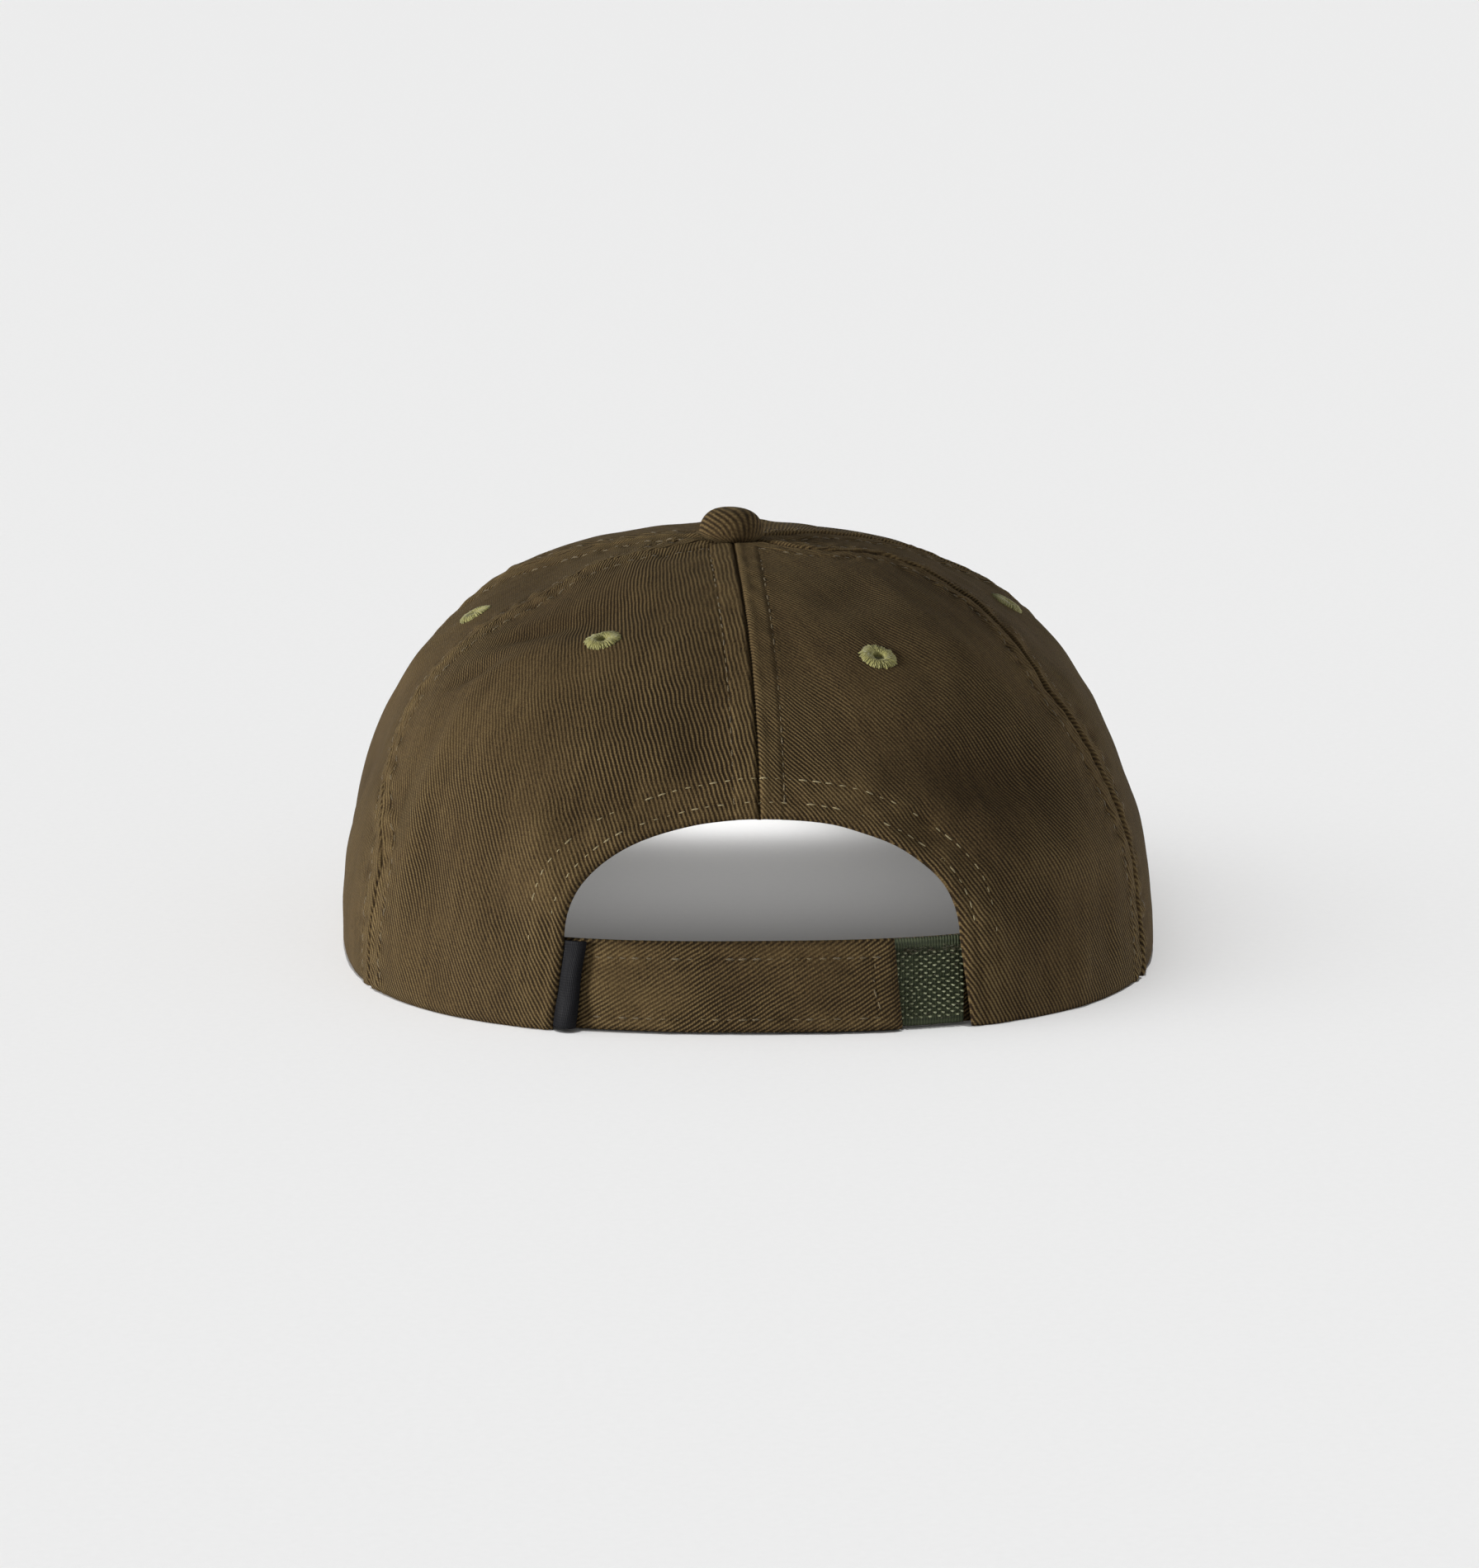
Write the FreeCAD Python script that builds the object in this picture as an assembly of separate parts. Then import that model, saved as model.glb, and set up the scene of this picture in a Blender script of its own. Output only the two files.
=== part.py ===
import FreeCAD, Part
import math
import os

# A six-panel baseball cap with a pre-curved visor and a hook-and-loop strap at the back.
# Millimetres. +Z is up, the visor points along -Y, the strap is at +Y, and +X is the wearer's left.
# The origin is the centre of the head opening, in the plane of the back and side rim.

# Crown: outer surface of the cloth panels
HALF_WIDTH = 88.0
HALF_LENGTH = 96.0
PLAN_POWER = 2.7
CROWN_HEIGHT = 86.0
SIDE_POWER = 2.30
REAR_POWER = 2.08
FRONT_POWER = 2.35
CROWN_LEAN = 3.0
LEAN_POWER = 6
FRONT_RIM_LIFT = 24.0
FRONT_RIM_SPREAD = 95.0
FRONT_RIM_POWER = 3

# Seams, as angles about the vertical axis, in degrees
REAR_SEAM = 90.0
REAR_LEFT_SEAM = 33.0
FRONT_LEFT_SEAM = -29.0
FRONT_SEAM = -90.0
FRONT_RIGHT_SEAM = -151.0
REAR_RIGHT_SEAM = 149.0
SEAM_GAP = 0.1
# Bow of the side seams at the back: turn toward the sides, what stays of it at the button,
# and the rises between which it comes in and goes
SEAM_BOWS = {
    REAR_LEFT_SEAM: (-18.0, -7.0, 16.0, 40.0),
    REAR_RIGHT_SEAM: (26.0, 0.0, 41.0, 70.0),
}
SEAM_BOW_END = (68.0, 82.0)
APEX_HOLE_RADIUS = 2.4
RIM_OVERSHOOT = -1.5

# Cloth layers: depth below the crown's outer surface, to the layer's outer and inner face
PANEL_DEPTHS = (0.0, 0.8)
BUCKRAM_DEPTHS = (0.9, 1.5)
TAPE_DEPTHS = (0.9, 2.0)
FACING_DEPTHS = (0.9, 1.6)
PADDING_DEPTHS = (2.2, 2.8)
SWEATBAND_DEPTHS = (2.9, 3.7)
TAPE_WIDTH = 13.0
TAPE_APEX_SPREAD = 27.5
TAPE_APEX_GAP = 0.6
BUCKRAM_MARGIN = 8.5
BUCKRAM_TOP_RADIUS = 18.7
SWEATBAND_HEIGHT = 33.0
SWEATBAND_FOLLOW = 0.6
SWEATBAND_END = 59.0
PADDING_SPREAD = 72.0
PADDING_SHORTER = 4.0
BAND_RISE = 1.0

# Rear opening
ARCH_CENTRE_X = -0.4
ARCH_HALF_WIDTH = 41.0
ARCH_BASE_HEIGHT = 18.5
ARCH_RISE = 24.6
ARCH_POWER = 2.2
ARCH_LEG_FLARE = 2.6
FACING_WIDTH = 9.5
FACING_SPREAD = 40.0
FACING_CLEARANCE = 0.3
OUTLINE_BELOW_RIM = 5.0

# Strap, tab and label, all at the rear rim
STRAP_BOTTOM = 0.6
STRAP_HEIGHT = 18.5
STRAP_THICKNESS = 1.2
STRAP_ROOT_GAP = 0.6
STRAP_END_X = -28.0
STRAP_ROOT_DEPTH = 1.7
STRAP_LAP_DEPTH = 0.2
STRAP_DROP_X = 36.0
LOOP_THICKNESS = 0.75
LAYER_GAP = 0.05
LOOP_START_X = 35.0
LOOP_END_X = -26.5
LOOP_INSET = 0.4
TAB_ROOT_X = -43.0
TAB_END_X = -3.0
TAB_DEPTH = 2.5
TAB_FOLD_DEPTH = 1.9
HOOK_THICKNESS = 0.9
TAB_THICKNESS = 0.85
HOOK_END_MARGIN = 1.5
SEWN_END_OUTER_X = 50.0
SEWN_END_GAP = 1.0
LABEL_ROOT_GAP = 1.1
LABEL_WIDTH = 4.1
LABEL_DEPTHS = (0.2, 1.3)
LABEL_INSET = 0.3

# Visor
VISOR_SPREAD = 58.0
VISOR_HALF_WIDTH = 82.5
VISOR_BACK_Y = -52.0
VISOR_TIP_Y = -168.0
VISOR_POWER = 2.2
VISOR_TIP_HEIGHT = 17.0
VISOR_CORNER_HEIGHT = 1.85
VISOR_MID_DROP = 1.85
VISOR_TUCK = 1.5
VISOR_CROSS_BULGE = 1.6
BOARD_OFFSETS = (-0.9, 0.9)
BOARD_MARGIN = 0.02
TOP_COVER_OFFSETS = (1.0, 1.8)
UNDER_COVER_OFFSETS = (-1.8, -1.0)

# Button
BUTTON_RADIUS = 6.75
BUTTON_HEIGHT = 6.9
BUTTON_BASE = 0.15
BUTTON_EDGE_POWER = 0.75
BUTTON_RING_SHARE = 0.25
BUTTON_TUCK = 40.0
COVER_THICKNESS = 0.6
SHELL_THICKNESS = 0.7
SHELL_CLEARANCE = 0.1
RIVET_RADIUS = 1.8
RIVET_HEAD_RADIUS = 2.8
RIVET_HEAD_THICKNESS = 0.6
RIVET_FLANGE_RADIUS = 5.5
RIVET_FLANGE_THICKNESS = 0.6
RIVET_FLANGE_DEPTH = 2.2

# Eyelets: angle about the vertical axis and angle up the wall, in degrees
EYELETS = {
    "eyelet_front_left": (-60.0, 53.0),
    "eyelet_front_right": (-120.0, 53.0),
    "eyelet_side_left": (-5.0, 50.5),
    "eyelet_side_right": (-170.0, 50.5),
    "eyelet_rear_left": (57.0, 57.0),
    "eyelet_rear_right": (116.0, 53.5),
}
EYELET_HOLE_RADIUS = 2.0
EYELET_BORE_LENGTH = 8.0
EYELET_SLEEVE_RADII = (1.2, 1.95)
EYELET_FLANGE_RADIUS = 4.0
EYELET_RAISE = (0.05, 0.45)
EYELET_INNER_GAP = 0.22
EYELET_INNER_THICKNESS = 0.3

UP = FreeCAD.Vector(0, 0, 1)
FAR = 400.0


def wall_shape(angle, rise):
    """Distance from the crown's axis, and share of its height, at an angle up the wall."""
    theta = math.radians(angle)
    phi = math.radians(rise)
    across = abs(math.cos(theta)) / HALF_WIDTH
    along = abs(math.sin(theta)) / HALF_LENGTH
    radius = (across ** PLAN_POWER + along ** PLAN_POWER) ** (-1 / PLAN_POWER)
    end_power = REAR_POWER if math.sin(theta) > 0 else FRONT_POWER
    power = SIDE_POWER + (end_power - SIDE_POWER) * math.sin(theta) ** 2
    reach = (abs(math.cos(phi)) ** power + abs(math.sin(phi)) ** power) ** (-1 / power)
    return radius * reach * math.cos(phi), reach * math.sin(phi)


def crown_point(angle, rise):
    """Point of the crown's outer surface at an angle about the axis and an angle up the wall."""
    theta = math.radians(angle)
    radius, height = wall_shape(angle, rise)
    rim = rim_height(angle)
    lean = CROWN_LEAN * abs(height) ** LEAN_POWER
    x = radius * math.cos(theta) + lean
    return FreeCAD.Vector(x, radius * math.sin(theta), rim + (CROWN_HEIGHT - rim) * height)


def rim_height(angle):
    """Height of the rim: flat at the back and sides, arched over the visor."""
    away = (angle - FRONT_SEAM + 180.0) % 360.0 - 180.0
    share = max(-1.0, min(1.0, away / FRONT_RIM_SPREAD))
    return FRONT_RIM_LIFT * (1 - share ** 2) ** FRONT_RIM_POWER


def crown_normal(angle, rise):
    """Unit normal of the crown's outer surface, pointing outward."""
    step = 0.05
    around = crown_point(angle + step, rise) - crown_point(angle - step, rise)
    upward = crown_point(angle, rise + step) - crown_point(angle, rise - step)
    return around.cross(upward).normalize()


def layer_point(angle, rise, depth):
    """Point at a depth below the crown's outer surface."""
    return crown_point(angle, rise) - crown_normal(angle, rise) * depth


def rise_at_height(angle, height):
    """Angle up the wall at which the outer surface reaches a height."""
    low, high = -20.0, 89.0
    for _ in range(40):
        middle = (low + high) / 2
        if crown_point(angle, middle).z < height:
            low = middle
        else:
            high = middle
    return (low + high) / 2


def rise_at_radius(angle, radius):
    """Angle up the wall at which the surface comes within a radius of the apex."""
    low, high = 20.0, 89.99
    apex = apex_point()
    for _ in range(50):
        middle = (low + high) / 2
        point = crown_point(angle, middle)
        if math.hypot(point.x - apex.x, point.y - apex.y) > radius:
            low = middle
        else:
            high = middle
    return (low + high) / 2


def apex_point():
    return FreeCAD.Vector(CROWN_LEAN, 0, CROWN_HEIGHT)


def angle_at_x(x):
    """Angle about the axis at which the rear rim crosses a given x."""
    y = HALF_LENGTH * (1 - abs(x / HALF_WIDTH) ** PLAN_POWER) ** (1 / PLAN_POWER)
    return math.degrees(math.atan2(y, x))


def smooth_step(value):
    share = max(0.0, min(1.0, value))
    return share * share * (3 - 2 * share)


def spread(start, end, count):
    return [start + (end - start) * index / (count - 1) for index in range(count)]


def solid_between(outer_grid, inner_grid):
    """Closed solid between two smooth surfaces through grids of the same size."""
    surfaces = []
    for grid in (outer_grid, inner_grid):
        surface = Part.BSplineSurface()
        surface.interpolate(grid)
        surfaces.append(surface)
    outer, inner = surfaces
    faces = [outer.toShape(), inner.toShape()]
    outer_bounds = outer.bounds()
    inner_bounds = inner.bounds()
    for side in (0, 1):
        pair = [surface.uIso(bounds[side]).toShape()
                for surface, bounds in ((outer, outer_bounds), (inner, inner_bounds))]
        faces.append(Part.makeRuledSurface(pair[0], pair[1]))
    for side in (2, 3):
        pair = [surface.vIso(bounds[side]).toShape()
                for surface, bounds in ((outer, outer_bounds), (inner, inner_bounds))]
        faces.append(Part.makeRuledSurface(pair[0], pair[1]))
    shell = Part.makeShell(faces)
    shell.sewShape()
    solid = Part.makeSolid(shell)
    if solid.Volume < 0:
        solid.reverse()
    return solid


def wall_band(start, end, low, high, depths, columns, rows):
    """Solid layer of the crown wall. low and high are rises, or functions of the angle."""
    grids = []
    for side in (0, 1):
        grid = []
        for share in spread(0.0, 1.0, rows):
            line = []
            for part in spread(0.0, 1.0, columns):
                line.append(band_point(start, end, low, high, depths[side], part, share))
            grid.append(line)
        grids.append(grid)
    return solid_between(grids[0], grids[1])


def band_point(start, end, low, high, depth, part, share):
    """One grid point. start and end are angles, or functions of the rise.

    The angle is found first from the rise at the band's middle, and then the rise from that angle.
    """
    middle_angle = (value_of(start, 0.0) + value_of(end, 0.0)) / 2
    rise = value_of(low, middle_angle) * (1 - share) + value_of(high, middle_angle) * share
    angle = value_of(start, rise) * (1 - part) + value_of(end, rise) * part
    rise = value_of(low, angle) * (1 - share) + value_of(high, angle) * share
    return layer_point(angle, rise, value_of(depth, angle))


def value_of(item, argument):
    return item(argument) if callable(item) else item


def side_angle(seam, offset):
    """Angle, as a function of the rise, of a line that runs beside a seam at a distance."""
    def angle(rise):
        radius, _ = wall_shape(seam, rise)
        share = min(1.0, abs(offset) / max(1.0, radius))
        turn = min(math.degrees(math.asin(share)), TAPE_APEX_SPREAD)
        return seam_line(seam, rise) + math.copysign(turn, offset)
    return angle


def seam_line(seam, rise):
    """Angle of a seam at a rise: straight up the wall, or bowed between the rim and the button."""
    turn, left, start, full = SEAM_BOWS.get(seam, (0.0, 0.0, 0.0, 1.0))
    coming = smooth_step((rise - start) / (full - start))
    low, high = SEAM_BOW_END
    return seam + turn * coming + (left - turn) * smooth_step((rise - low) / (high - low))


def arch_outline(grow):
    """Closed outline of the rear opening, enlarged by a distance, in the XZ plane."""
    half = ARCH_HALF_WIDTH + grow
    rise = ARCH_RISE + grow
    points = []
    for turn in spread(0.0, 180.0, 37):
        cosine = math.cos(math.radians(turn))
        sine = math.sin(math.radians(turn))
        reach = (abs(cosine) ** ARCH_POWER + abs(sine) ** ARCH_POWER) ** (-1 / ARCH_POWER)
        x = ARCH_CENTRE_X + half * reach * cosine
        points.append(FreeCAD.Vector(x, 0, ARCH_BASE_HEIGHT + rise * reach * sine))
    curve = Part.BSplineCurve()
    curve.interpolate(points)
    slope = ARCH_LEG_FLARE / ARCH_BASE_HEIGHT
    foot = half + slope * (ARCH_BASE_HEIGHT + OUTLINE_BELOW_RIM)
    right_foot = FreeCAD.Vector(ARCH_CENTRE_X - foot, 0, -OUTLINE_BELOW_RIM)
    left_foot = FreeCAD.Vector(ARCH_CENTRE_X + foot, 0, -OUTLINE_BELOW_RIM)
    edges = [
        curve.toShape(),
        Part.makeLine(points[-1], right_foot),
        Part.makeLine(right_foot, left_foot),
        Part.makeLine(left_foot, points[0]),
    ]
    return Part.Face(Part.Wire(edges))


def arch_prism(grow):
    """The rear opening's outline pushed through the rear wall."""
    face = arch_outline(grow)
    face.translate(FreeCAD.Vector(0, HALF_LENGTH * 0.6, 0))
    return face.extrude(FreeCAD.Vector(0, HALF_LENGTH, 0))


def below_floor():
    """Block under the rim plane, used to trim the rear rim flat."""
    return Part.makeBox(2 * FAR, 2 * FAR, FAR, FreeCAD.Vector(-FAR, -FAR, -FAR))


def eyelet_bore(name):
    angle, rise = EYELETS[name]
    centre = crown_point(angle, rise)
    normal = crown_normal(angle, rise)
    start = centre - normal * EYELET_BORE_LENGTH / 2
    return Part.makeCylinder(EYELET_HOLE_RADIUS, EYELET_BORE_LENGTH, start, normal)


def panel(start_seam, end_seam, flat_rim):
    """One cloth panel, from the rim to the apex hole."""
    gap = SEAM_GAP / 2
    low = RIM_OVERSHOOT if flat_rim else 0.0
    middle = (start_seam + end_seam) / 2
    high = rise_at_radius(middle, APEX_HOLE_RADIUS)
    solid = wall_band(side_angle(start_seam, gap), side_angle(end_seam, -gap),
                      low, high, PANEL_DEPTHS, 15, 31)
    if flat_rim:
        solid = solid.cut(below_floor())
    return solid


def rear_panel(start_seam, end_seam):
    return panel(start_seam, end_seam, True).cut(arch_prism(0.0))


def band_bottom(angle):
    """Rise of the lower edge of everything that lines the rim."""
    return rise_at_height(angle, rim_height(angle) + BAND_RISE)


def buckram(start_seam, end_seam):
    """Stiff backing inside a front panel, clear of the seam tapes."""
    middle = (start_seam + end_seam) / 2
    high = rise_at_radius(middle, BUCKRAM_TOP_RADIUS)
    return wall_band(side_angle(start_seam, BUCKRAM_MARGIN), side_angle(end_seam, -BUCKRAM_MARGIN),
                     band_bottom, high, BUCKRAM_DEPTHS, 11, 13)


def seam_tape(seam):
    """Folded tape that covers a seam inside the crown."""
    half = TAPE_WIDTH / 2
    high = rise_at_radius(seam, APEX_HOLE_RADIUS + TAPE_APEX_GAP)
    return wall_band(side_angle(seam, -half), side_angle(seam, half),
                     band_bottom(seam), high, TAPE_DEPTHS, 5, 31)


def sweatband_layer(start, end, depths, top, columns):
    def band_top(angle):
        return rise_at_height(angle, rim_height(angle) * SWEATBAND_FOLLOW + top)
    return wall_band(start, end, band_bottom, band_top, depths, columns, 5)


def sweatband():
    """Long folded band around the inside of the rim, open behind the strap."""
    start = 2 * REAR_SEAM - SWEATBAND_END - 360.0
    return sweatband_layer(start, SWEATBAND_END, SWEATBAND_DEPTHS, SWEATBAND_HEIGHT, 49)


def sweatband_padding():
    """Foam under the sweatband at the forehead."""
    return sweatband_layer(FRONT_SEAM - PADDING_SPREAD, FRONT_SEAM + PADDING_SPREAD,
                           PADDING_DEPTHS, SWEATBAND_HEIGHT - PADDING_SHORTER, 25)


def arch_facing():
    """Binding on the inside of the rear opening's edge."""
    top = rise_at_height(REAR_SEAM, ARCH_BASE_HEIGHT + ARCH_RISE + 2 * FACING_WIDTH)
    wall = wall_band(REAR_SEAM - FACING_SPREAD, REAR_SEAM + FACING_SPREAD,
                     band_bottom(REAR_SEAM), top, FACING_DEPTHS, 25, 13)
    ring = arch_prism(FACING_WIDTH).cut(arch_prism(0.0))
    return wall.common(ring)


def beside_left_leg(offset):
    """Angle, as a function of the rise, of a line inside the opening beside its left leg."""
    def angle(rise):
        height = crown_point(REAR_SEAM, rise).z
        flare = ARCH_LEG_FLARE * (1 - height / ARCH_BASE_HEIGHT)
        x = ARCH_CENTRE_X + ARCH_HALF_WIDTH + flare - offset
        return angle_on_wall(x, rise)
    return angle


def angle_on_wall(x, rise):
    """Angle about the axis at which the wall, at a rise near the rim, crosses a given x."""
    low, high = 0.0, 180.0
    for _ in range(40):
        middle = (low + high) / 2
        if crown_point(middle, rise).x > x:
            low = middle
        else:
            high = middle
    return (low + high) / 2


def strap_band(start, end, depths, inset):
    """Band across the rear rim, between two angles or slanting lines."""
    def bottom(angle):
        return rise_at_height(angle, STRAP_BOTTOM + inset)

    def top(angle):
        return rise_at_height(angle, STRAP_BOTTOM + STRAP_HEIGHT - inset)
    return wall_band(start, end, bottom, top, depths, 15, 5)


def strap_depth(extra):
    """Depth of the strap: under the left leg at its root, level with the panels at its end."""
    def depth(angle):
        x = crown_point(angle, 5.0).x
        drop = (STRAP_ROOT_DEPTH - STRAP_LAP_DEPTH) * smooth_step(x / STRAP_DROP_X)
        return STRAP_LAP_DEPTH + drop + extra
    return depth


def strap():
    depths = (strap_depth(0.0), strap_depth(STRAP_THICKNESS))
    return strap_band(beside_left_leg(STRAP_ROOT_GAP), angle_at_x(STRAP_END_X), depths, 0.0)


def strap_loop_tape():
    start = STRAP_THICKNESS + LAYER_GAP
    depths = (strap_depth(start), strap_depth(start + LOOP_THICKNESS))
    return strap_band(angle_at_x(LOOP_START_X), angle_at_x(LOOP_END_X), depths, LOOP_INSET)


def strap_sewn_end():
    start = beside_left_leg(STRAP_ROOT_GAP - SEWN_END_GAP)
    depths = (STRAP_ROOT_DEPTH, STRAP_ROOT_DEPTH + STRAP_THICKNESS)
    return strap_band(angle_at_x(SEWN_END_OUTER_X), start, depths, 0.0)


def tab():
    outer = TAB_DEPTH + HOOK_THICKNESS + LAYER_GAP
    depths = (outer, outer + TAB_THICKNESS)
    return strap_band(angle_at_x(TAB_END_X), angle_at_x(TAB_ROOT_X), depths, 0.0)


def tab_hook_tape():
    end = angle_at_x(TAB_END_X - HOOK_END_MARGIN)
    depths = (TAB_DEPTH, TAB_DEPTH + HOOK_THICKNESS)
    return strap_band(end, angle_at_x(TAB_ROOT_X), depths, 0.0)


def tab_sewn_end():
    inner = TAB_DEPTH + HOOK_THICKNESS + LAYER_GAP + TAB_THICKNESS
    start = angle_at_x(TAB_ROOT_X - SEWN_END_GAP)
    return strap_band(start, angle_at_x(-SEWN_END_OUTER_X), (TAB_FOLD_DEPTH, inner), 0.0)


def side_label():
    """Folded label, slanting with the opening's left leg."""
    start = beside_left_leg(LABEL_ROOT_GAP)
    end = beside_left_leg(LABEL_ROOT_GAP + LABEL_WIDTH)
    return strap_band(start, end, LABEL_DEPTHS, LABEL_INSET)


def visor_inner_point(share):
    """Middle surface of the visor where it is sewn to the rim; share runs from -1 to 1."""
    angle = FRONT_SEAM + VISOR_SPREAD * share
    point = layer_point(angle, 0.0, VISOR_TUCK)
    return FreeCAD.Vector(point.x, point.y, rim_height(angle) - VISOR_MID_DROP)


def visor_outer_point(share):
    """Middle surface of the visor at its free edge."""
    turn = math.radians(90.0 * share)
    x = math.copysign(VISOR_HALF_WIDTH * abs(math.sin(turn)) ** (2 / VISOR_POWER), share)
    reach = abs(math.cos(turn)) ** (2 / VISOR_POWER)
    y = VISOR_BACK_Y + (VISOR_TIP_Y - VISOR_BACK_Y) * reach
    arch = 1 - (x / VISOR_HALF_WIDTH) ** 2
    z = VISOR_CORNER_HEIGHT + (VISOR_TIP_HEIGHT - VISOR_CORNER_HEIGHT) * arch
    return FreeCAD.Vector(x, y, z)


def visor_point(share, run, offset):
    inner = visor_inner_point(share)
    outer = visor_outer_point(share)
    point = inner * (1 - run) + outer * run
    point.z += VISOR_CROSS_BULGE * math.sin(math.pi * run) * (1 - share ** 2) + offset
    return point


def visor_layer(offsets, margin):
    grids = []
    for offset in (offsets[1], offsets[0]):
        grid = []
        for run in spread(0.0, 1.0 - margin, 9):
            grid.append([visor_point(share, run, offset) for share in visor_shares()])
        grids.append(grid)
    return solid_between(grids[0], grids[1])


def visor_shares():
    """Stations across the visor, closer together at its corners."""
    return [math.sin(math.radians(turn)) for turn in spread(-90.0, 90.0, 25)]


def dome(radius, height, base):
    """Solid dome about the button's axis, rounded above its widest ring and tucked in below it."""
    ring = BUTTON_RING_SHARE * height
    below = ring / math.sin(math.radians(BUTTON_TUCK))
    curve = []
    for turn in spread(-BUTTON_TUCK, 90.0, 14):
        reach = radius * math.cos(math.radians(turn)) ** BUTTON_EDGE_POWER
        scale = height - ring if turn > 0 else below
        curve.append(FreeCAD.Vector(reach, 0, base + ring + scale * math.sin(math.radians(turn))))
    curve[-1] = FreeCAD.Vector(0, 0, base + height)
    line = Part.BSplineCurve()
    line.interpolate(curve)
    foot = FreeCAD.Vector(0, 0, base)
    edges = [line.toShape(), Part.makeLine(curve[-1], foot), Part.makeLine(foot, curve[0])]
    face = Part.Face(Part.Wire(edges))
    solid = face.revolve(FreeCAD.Vector(0, 0, 0), UP, 360)
    solid.translate(apex_point())
    return solid


def disc(radius, low, high):
    centre = apex_point() + UP * low
    return Part.makeCylinder(radius, high - low, centre, UP)


def button_cover():
    outer = dome(BUTTON_RADIUS, BUTTON_HEIGHT, BUTTON_BASE)
    inner = dome(BUTTON_RADIUS - COVER_THICKNESS, BUTTON_HEIGHT - COVER_THICKNESS, BUTTON_BASE)
    return outer.cut(inner)


def button_shell():
    """Hollow cap with a floor that the rivet's head holds down."""
    radius = BUTTON_RADIUS - COVER_THICKNESS - SHELL_CLEARANCE
    height = BUTTON_HEIGHT - COVER_THICKNESS - SHELL_CLEARANCE
    outer = dome(radius, height, BUTTON_BASE)
    floor_top = BUTTON_BASE + SHELL_THICKNESS
    hollow = dome(radius - SHELL_THICKNESS, height - 2 * SHELL_THICKNESS, floor_top)
    bore = disc(RIVET_RADIUS + SHELL_CLEARANCE, BUTTON_BASE - 1.0, floor_top + 0.5)
    return outer.cut(hollow).cut(bore)


def button_rivet():
    """Flange inside the crown, post through the apex hole and head inside the shell."""
    floor_top = BUTTON_BASE + SHELL_THICKNESS + SHELL_CLEARANCE
    flange = disc(RIVET_FLANGE_RADIUS, -RIVET_FLANGE_DEPTH - RIVET_FLANGE_THICKNESS, -RIVET_FLANGE_DEPTH)
    post = disc(RIVET_RADIUS, -RIVET_FLANGE_DEPTH - 0.1, floor_top + 0.1)
    head = disc(RIVET_HEAD_RADIUS, floor_top, floor_top + RIVET_HEAD_THICKNESS)
    return flange.fuse(post).fuse(head)


def eyelet(name):
    """Stitched ring: a sleeve through the cloth with a flange on each side."""
    backed = name.startswith("eyelet_front")
    cloth = BUCKRAM_DEPTHS[1] if backed else PANEL_DEPTHS[1]
    inner_top = -(cloth + EYELET_INNER_GAP)
    inner_bottom = inner_top - EYELET_INNER_THICKNESS
    low, high = EYELET_RAISE
    ring = Part.makeCylinder(EYELET_FLANGE_RADIUS, high - low, UP * low, UP)
    sleeve = Part.makeCylinder(EYELET_SLEEVE_RADII[1], high - inner_bottom, UP * inner_bottom, UP)
    back = Part.makeCylinder(EYELET_FLANGE_RADIUS, inner_top - inner_bottom, UP * inner_bottom, UP)
    start = UP * -EYELET_BORE_LENGTH / 2
    hole = Part.makeCylinder(EYELET_SLEEVE_RADII[0], EYELET_BORE_LENGTH, start, UP)
    shape = ring.fuse(sleeve).fuse(back).cut(hole)
    angle, rise = EYELETS[name]
    turn = FreeCAD.Rotation(UP, crown_normal(angle, rise))
    shape.Placement = FreeCAD.Placement(crown_point(angle, rise), turn)
    return shape


def pierced(shape, *names):
    for name in names:
        shape = shape.cut(eyelet_bore(name))
    return shape


def crown_nodes():
    right = FRONT_RIGHT_SEAM
    return {
        "front_panel_left": pierced(panel(FRONT_SEAM, FRONT_LEFT_SEAM, False), "eyelet_front_left"),
        "front_panel_right": pierced(panel(right, FRONT_SEAM, False), "eyelet_front_right"),
        "side_panel_left": pierced(panel(FRONT_LEFT_SEAM, REAR_LEFT_SEAM, False), "eyelet_side_left"),
        "side_panel_right": pierced(panel(REAR_RIGHT_SEAM, right + 360.0, False), "eyelet_side_right"),
        "rear_panel_left": pierced(rear_panel(REAR_LEFT_SEAM, REAR_SEAM), "eyelet_rear_left"),
        "rear_panel_right": pierced(rear_panel(REAR_SEAM, REAR_RIGHT_SEAM), "eyelet_rear_right"),
        "front_buckram_left": pierced(buckram(FRONT_SEAM, FRONT_LEFT_SEAM), "eyelet_front_left"),
        "front_buckram_right": pierced(buckram(right, FRONT_SEAM), "eyelet_front_right"),
    }


def lining_nodes():
    opening = arch_prism(FACING_WIDTH + FACING_CLEARANCE)
    return {
        "front_centre_seam_tape": seam_tape(FRONT_SEAM),
        "rear_centre_seam_tape": seam_tape(REAR_SEAM).cut(opening),
        "front_seam_tape_left": seam_tape(FRONT_LEFT_SEAM),
        "front_seam_tape_right": seam_tape(FRONT_RIGHT_SEAM),
        "rear_seam_tape_left": seam_tape(REAR_LEFT_SEAM),
        "rear_seam_tape_right": seam_tape(REAR_RIGHT_SEAM),
        "arch_facing": arch_facing(),
        "sweatband": sweatband(),
        "sweatband_padding": sweatband_padding(),
    }


def closure_nodes():
    return {
        "strap": strap(),
        "strap_loop_tape": strap_loop_tape(),
        "strap_sewn_end": strap_sewn_end(),
        "tab": tab(),
        "tab_hook_tape": tab_hook_tape(),
        "tab_sewn_end": tab_sewn_end(),
        "side_label": side_label(),
    }


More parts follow.
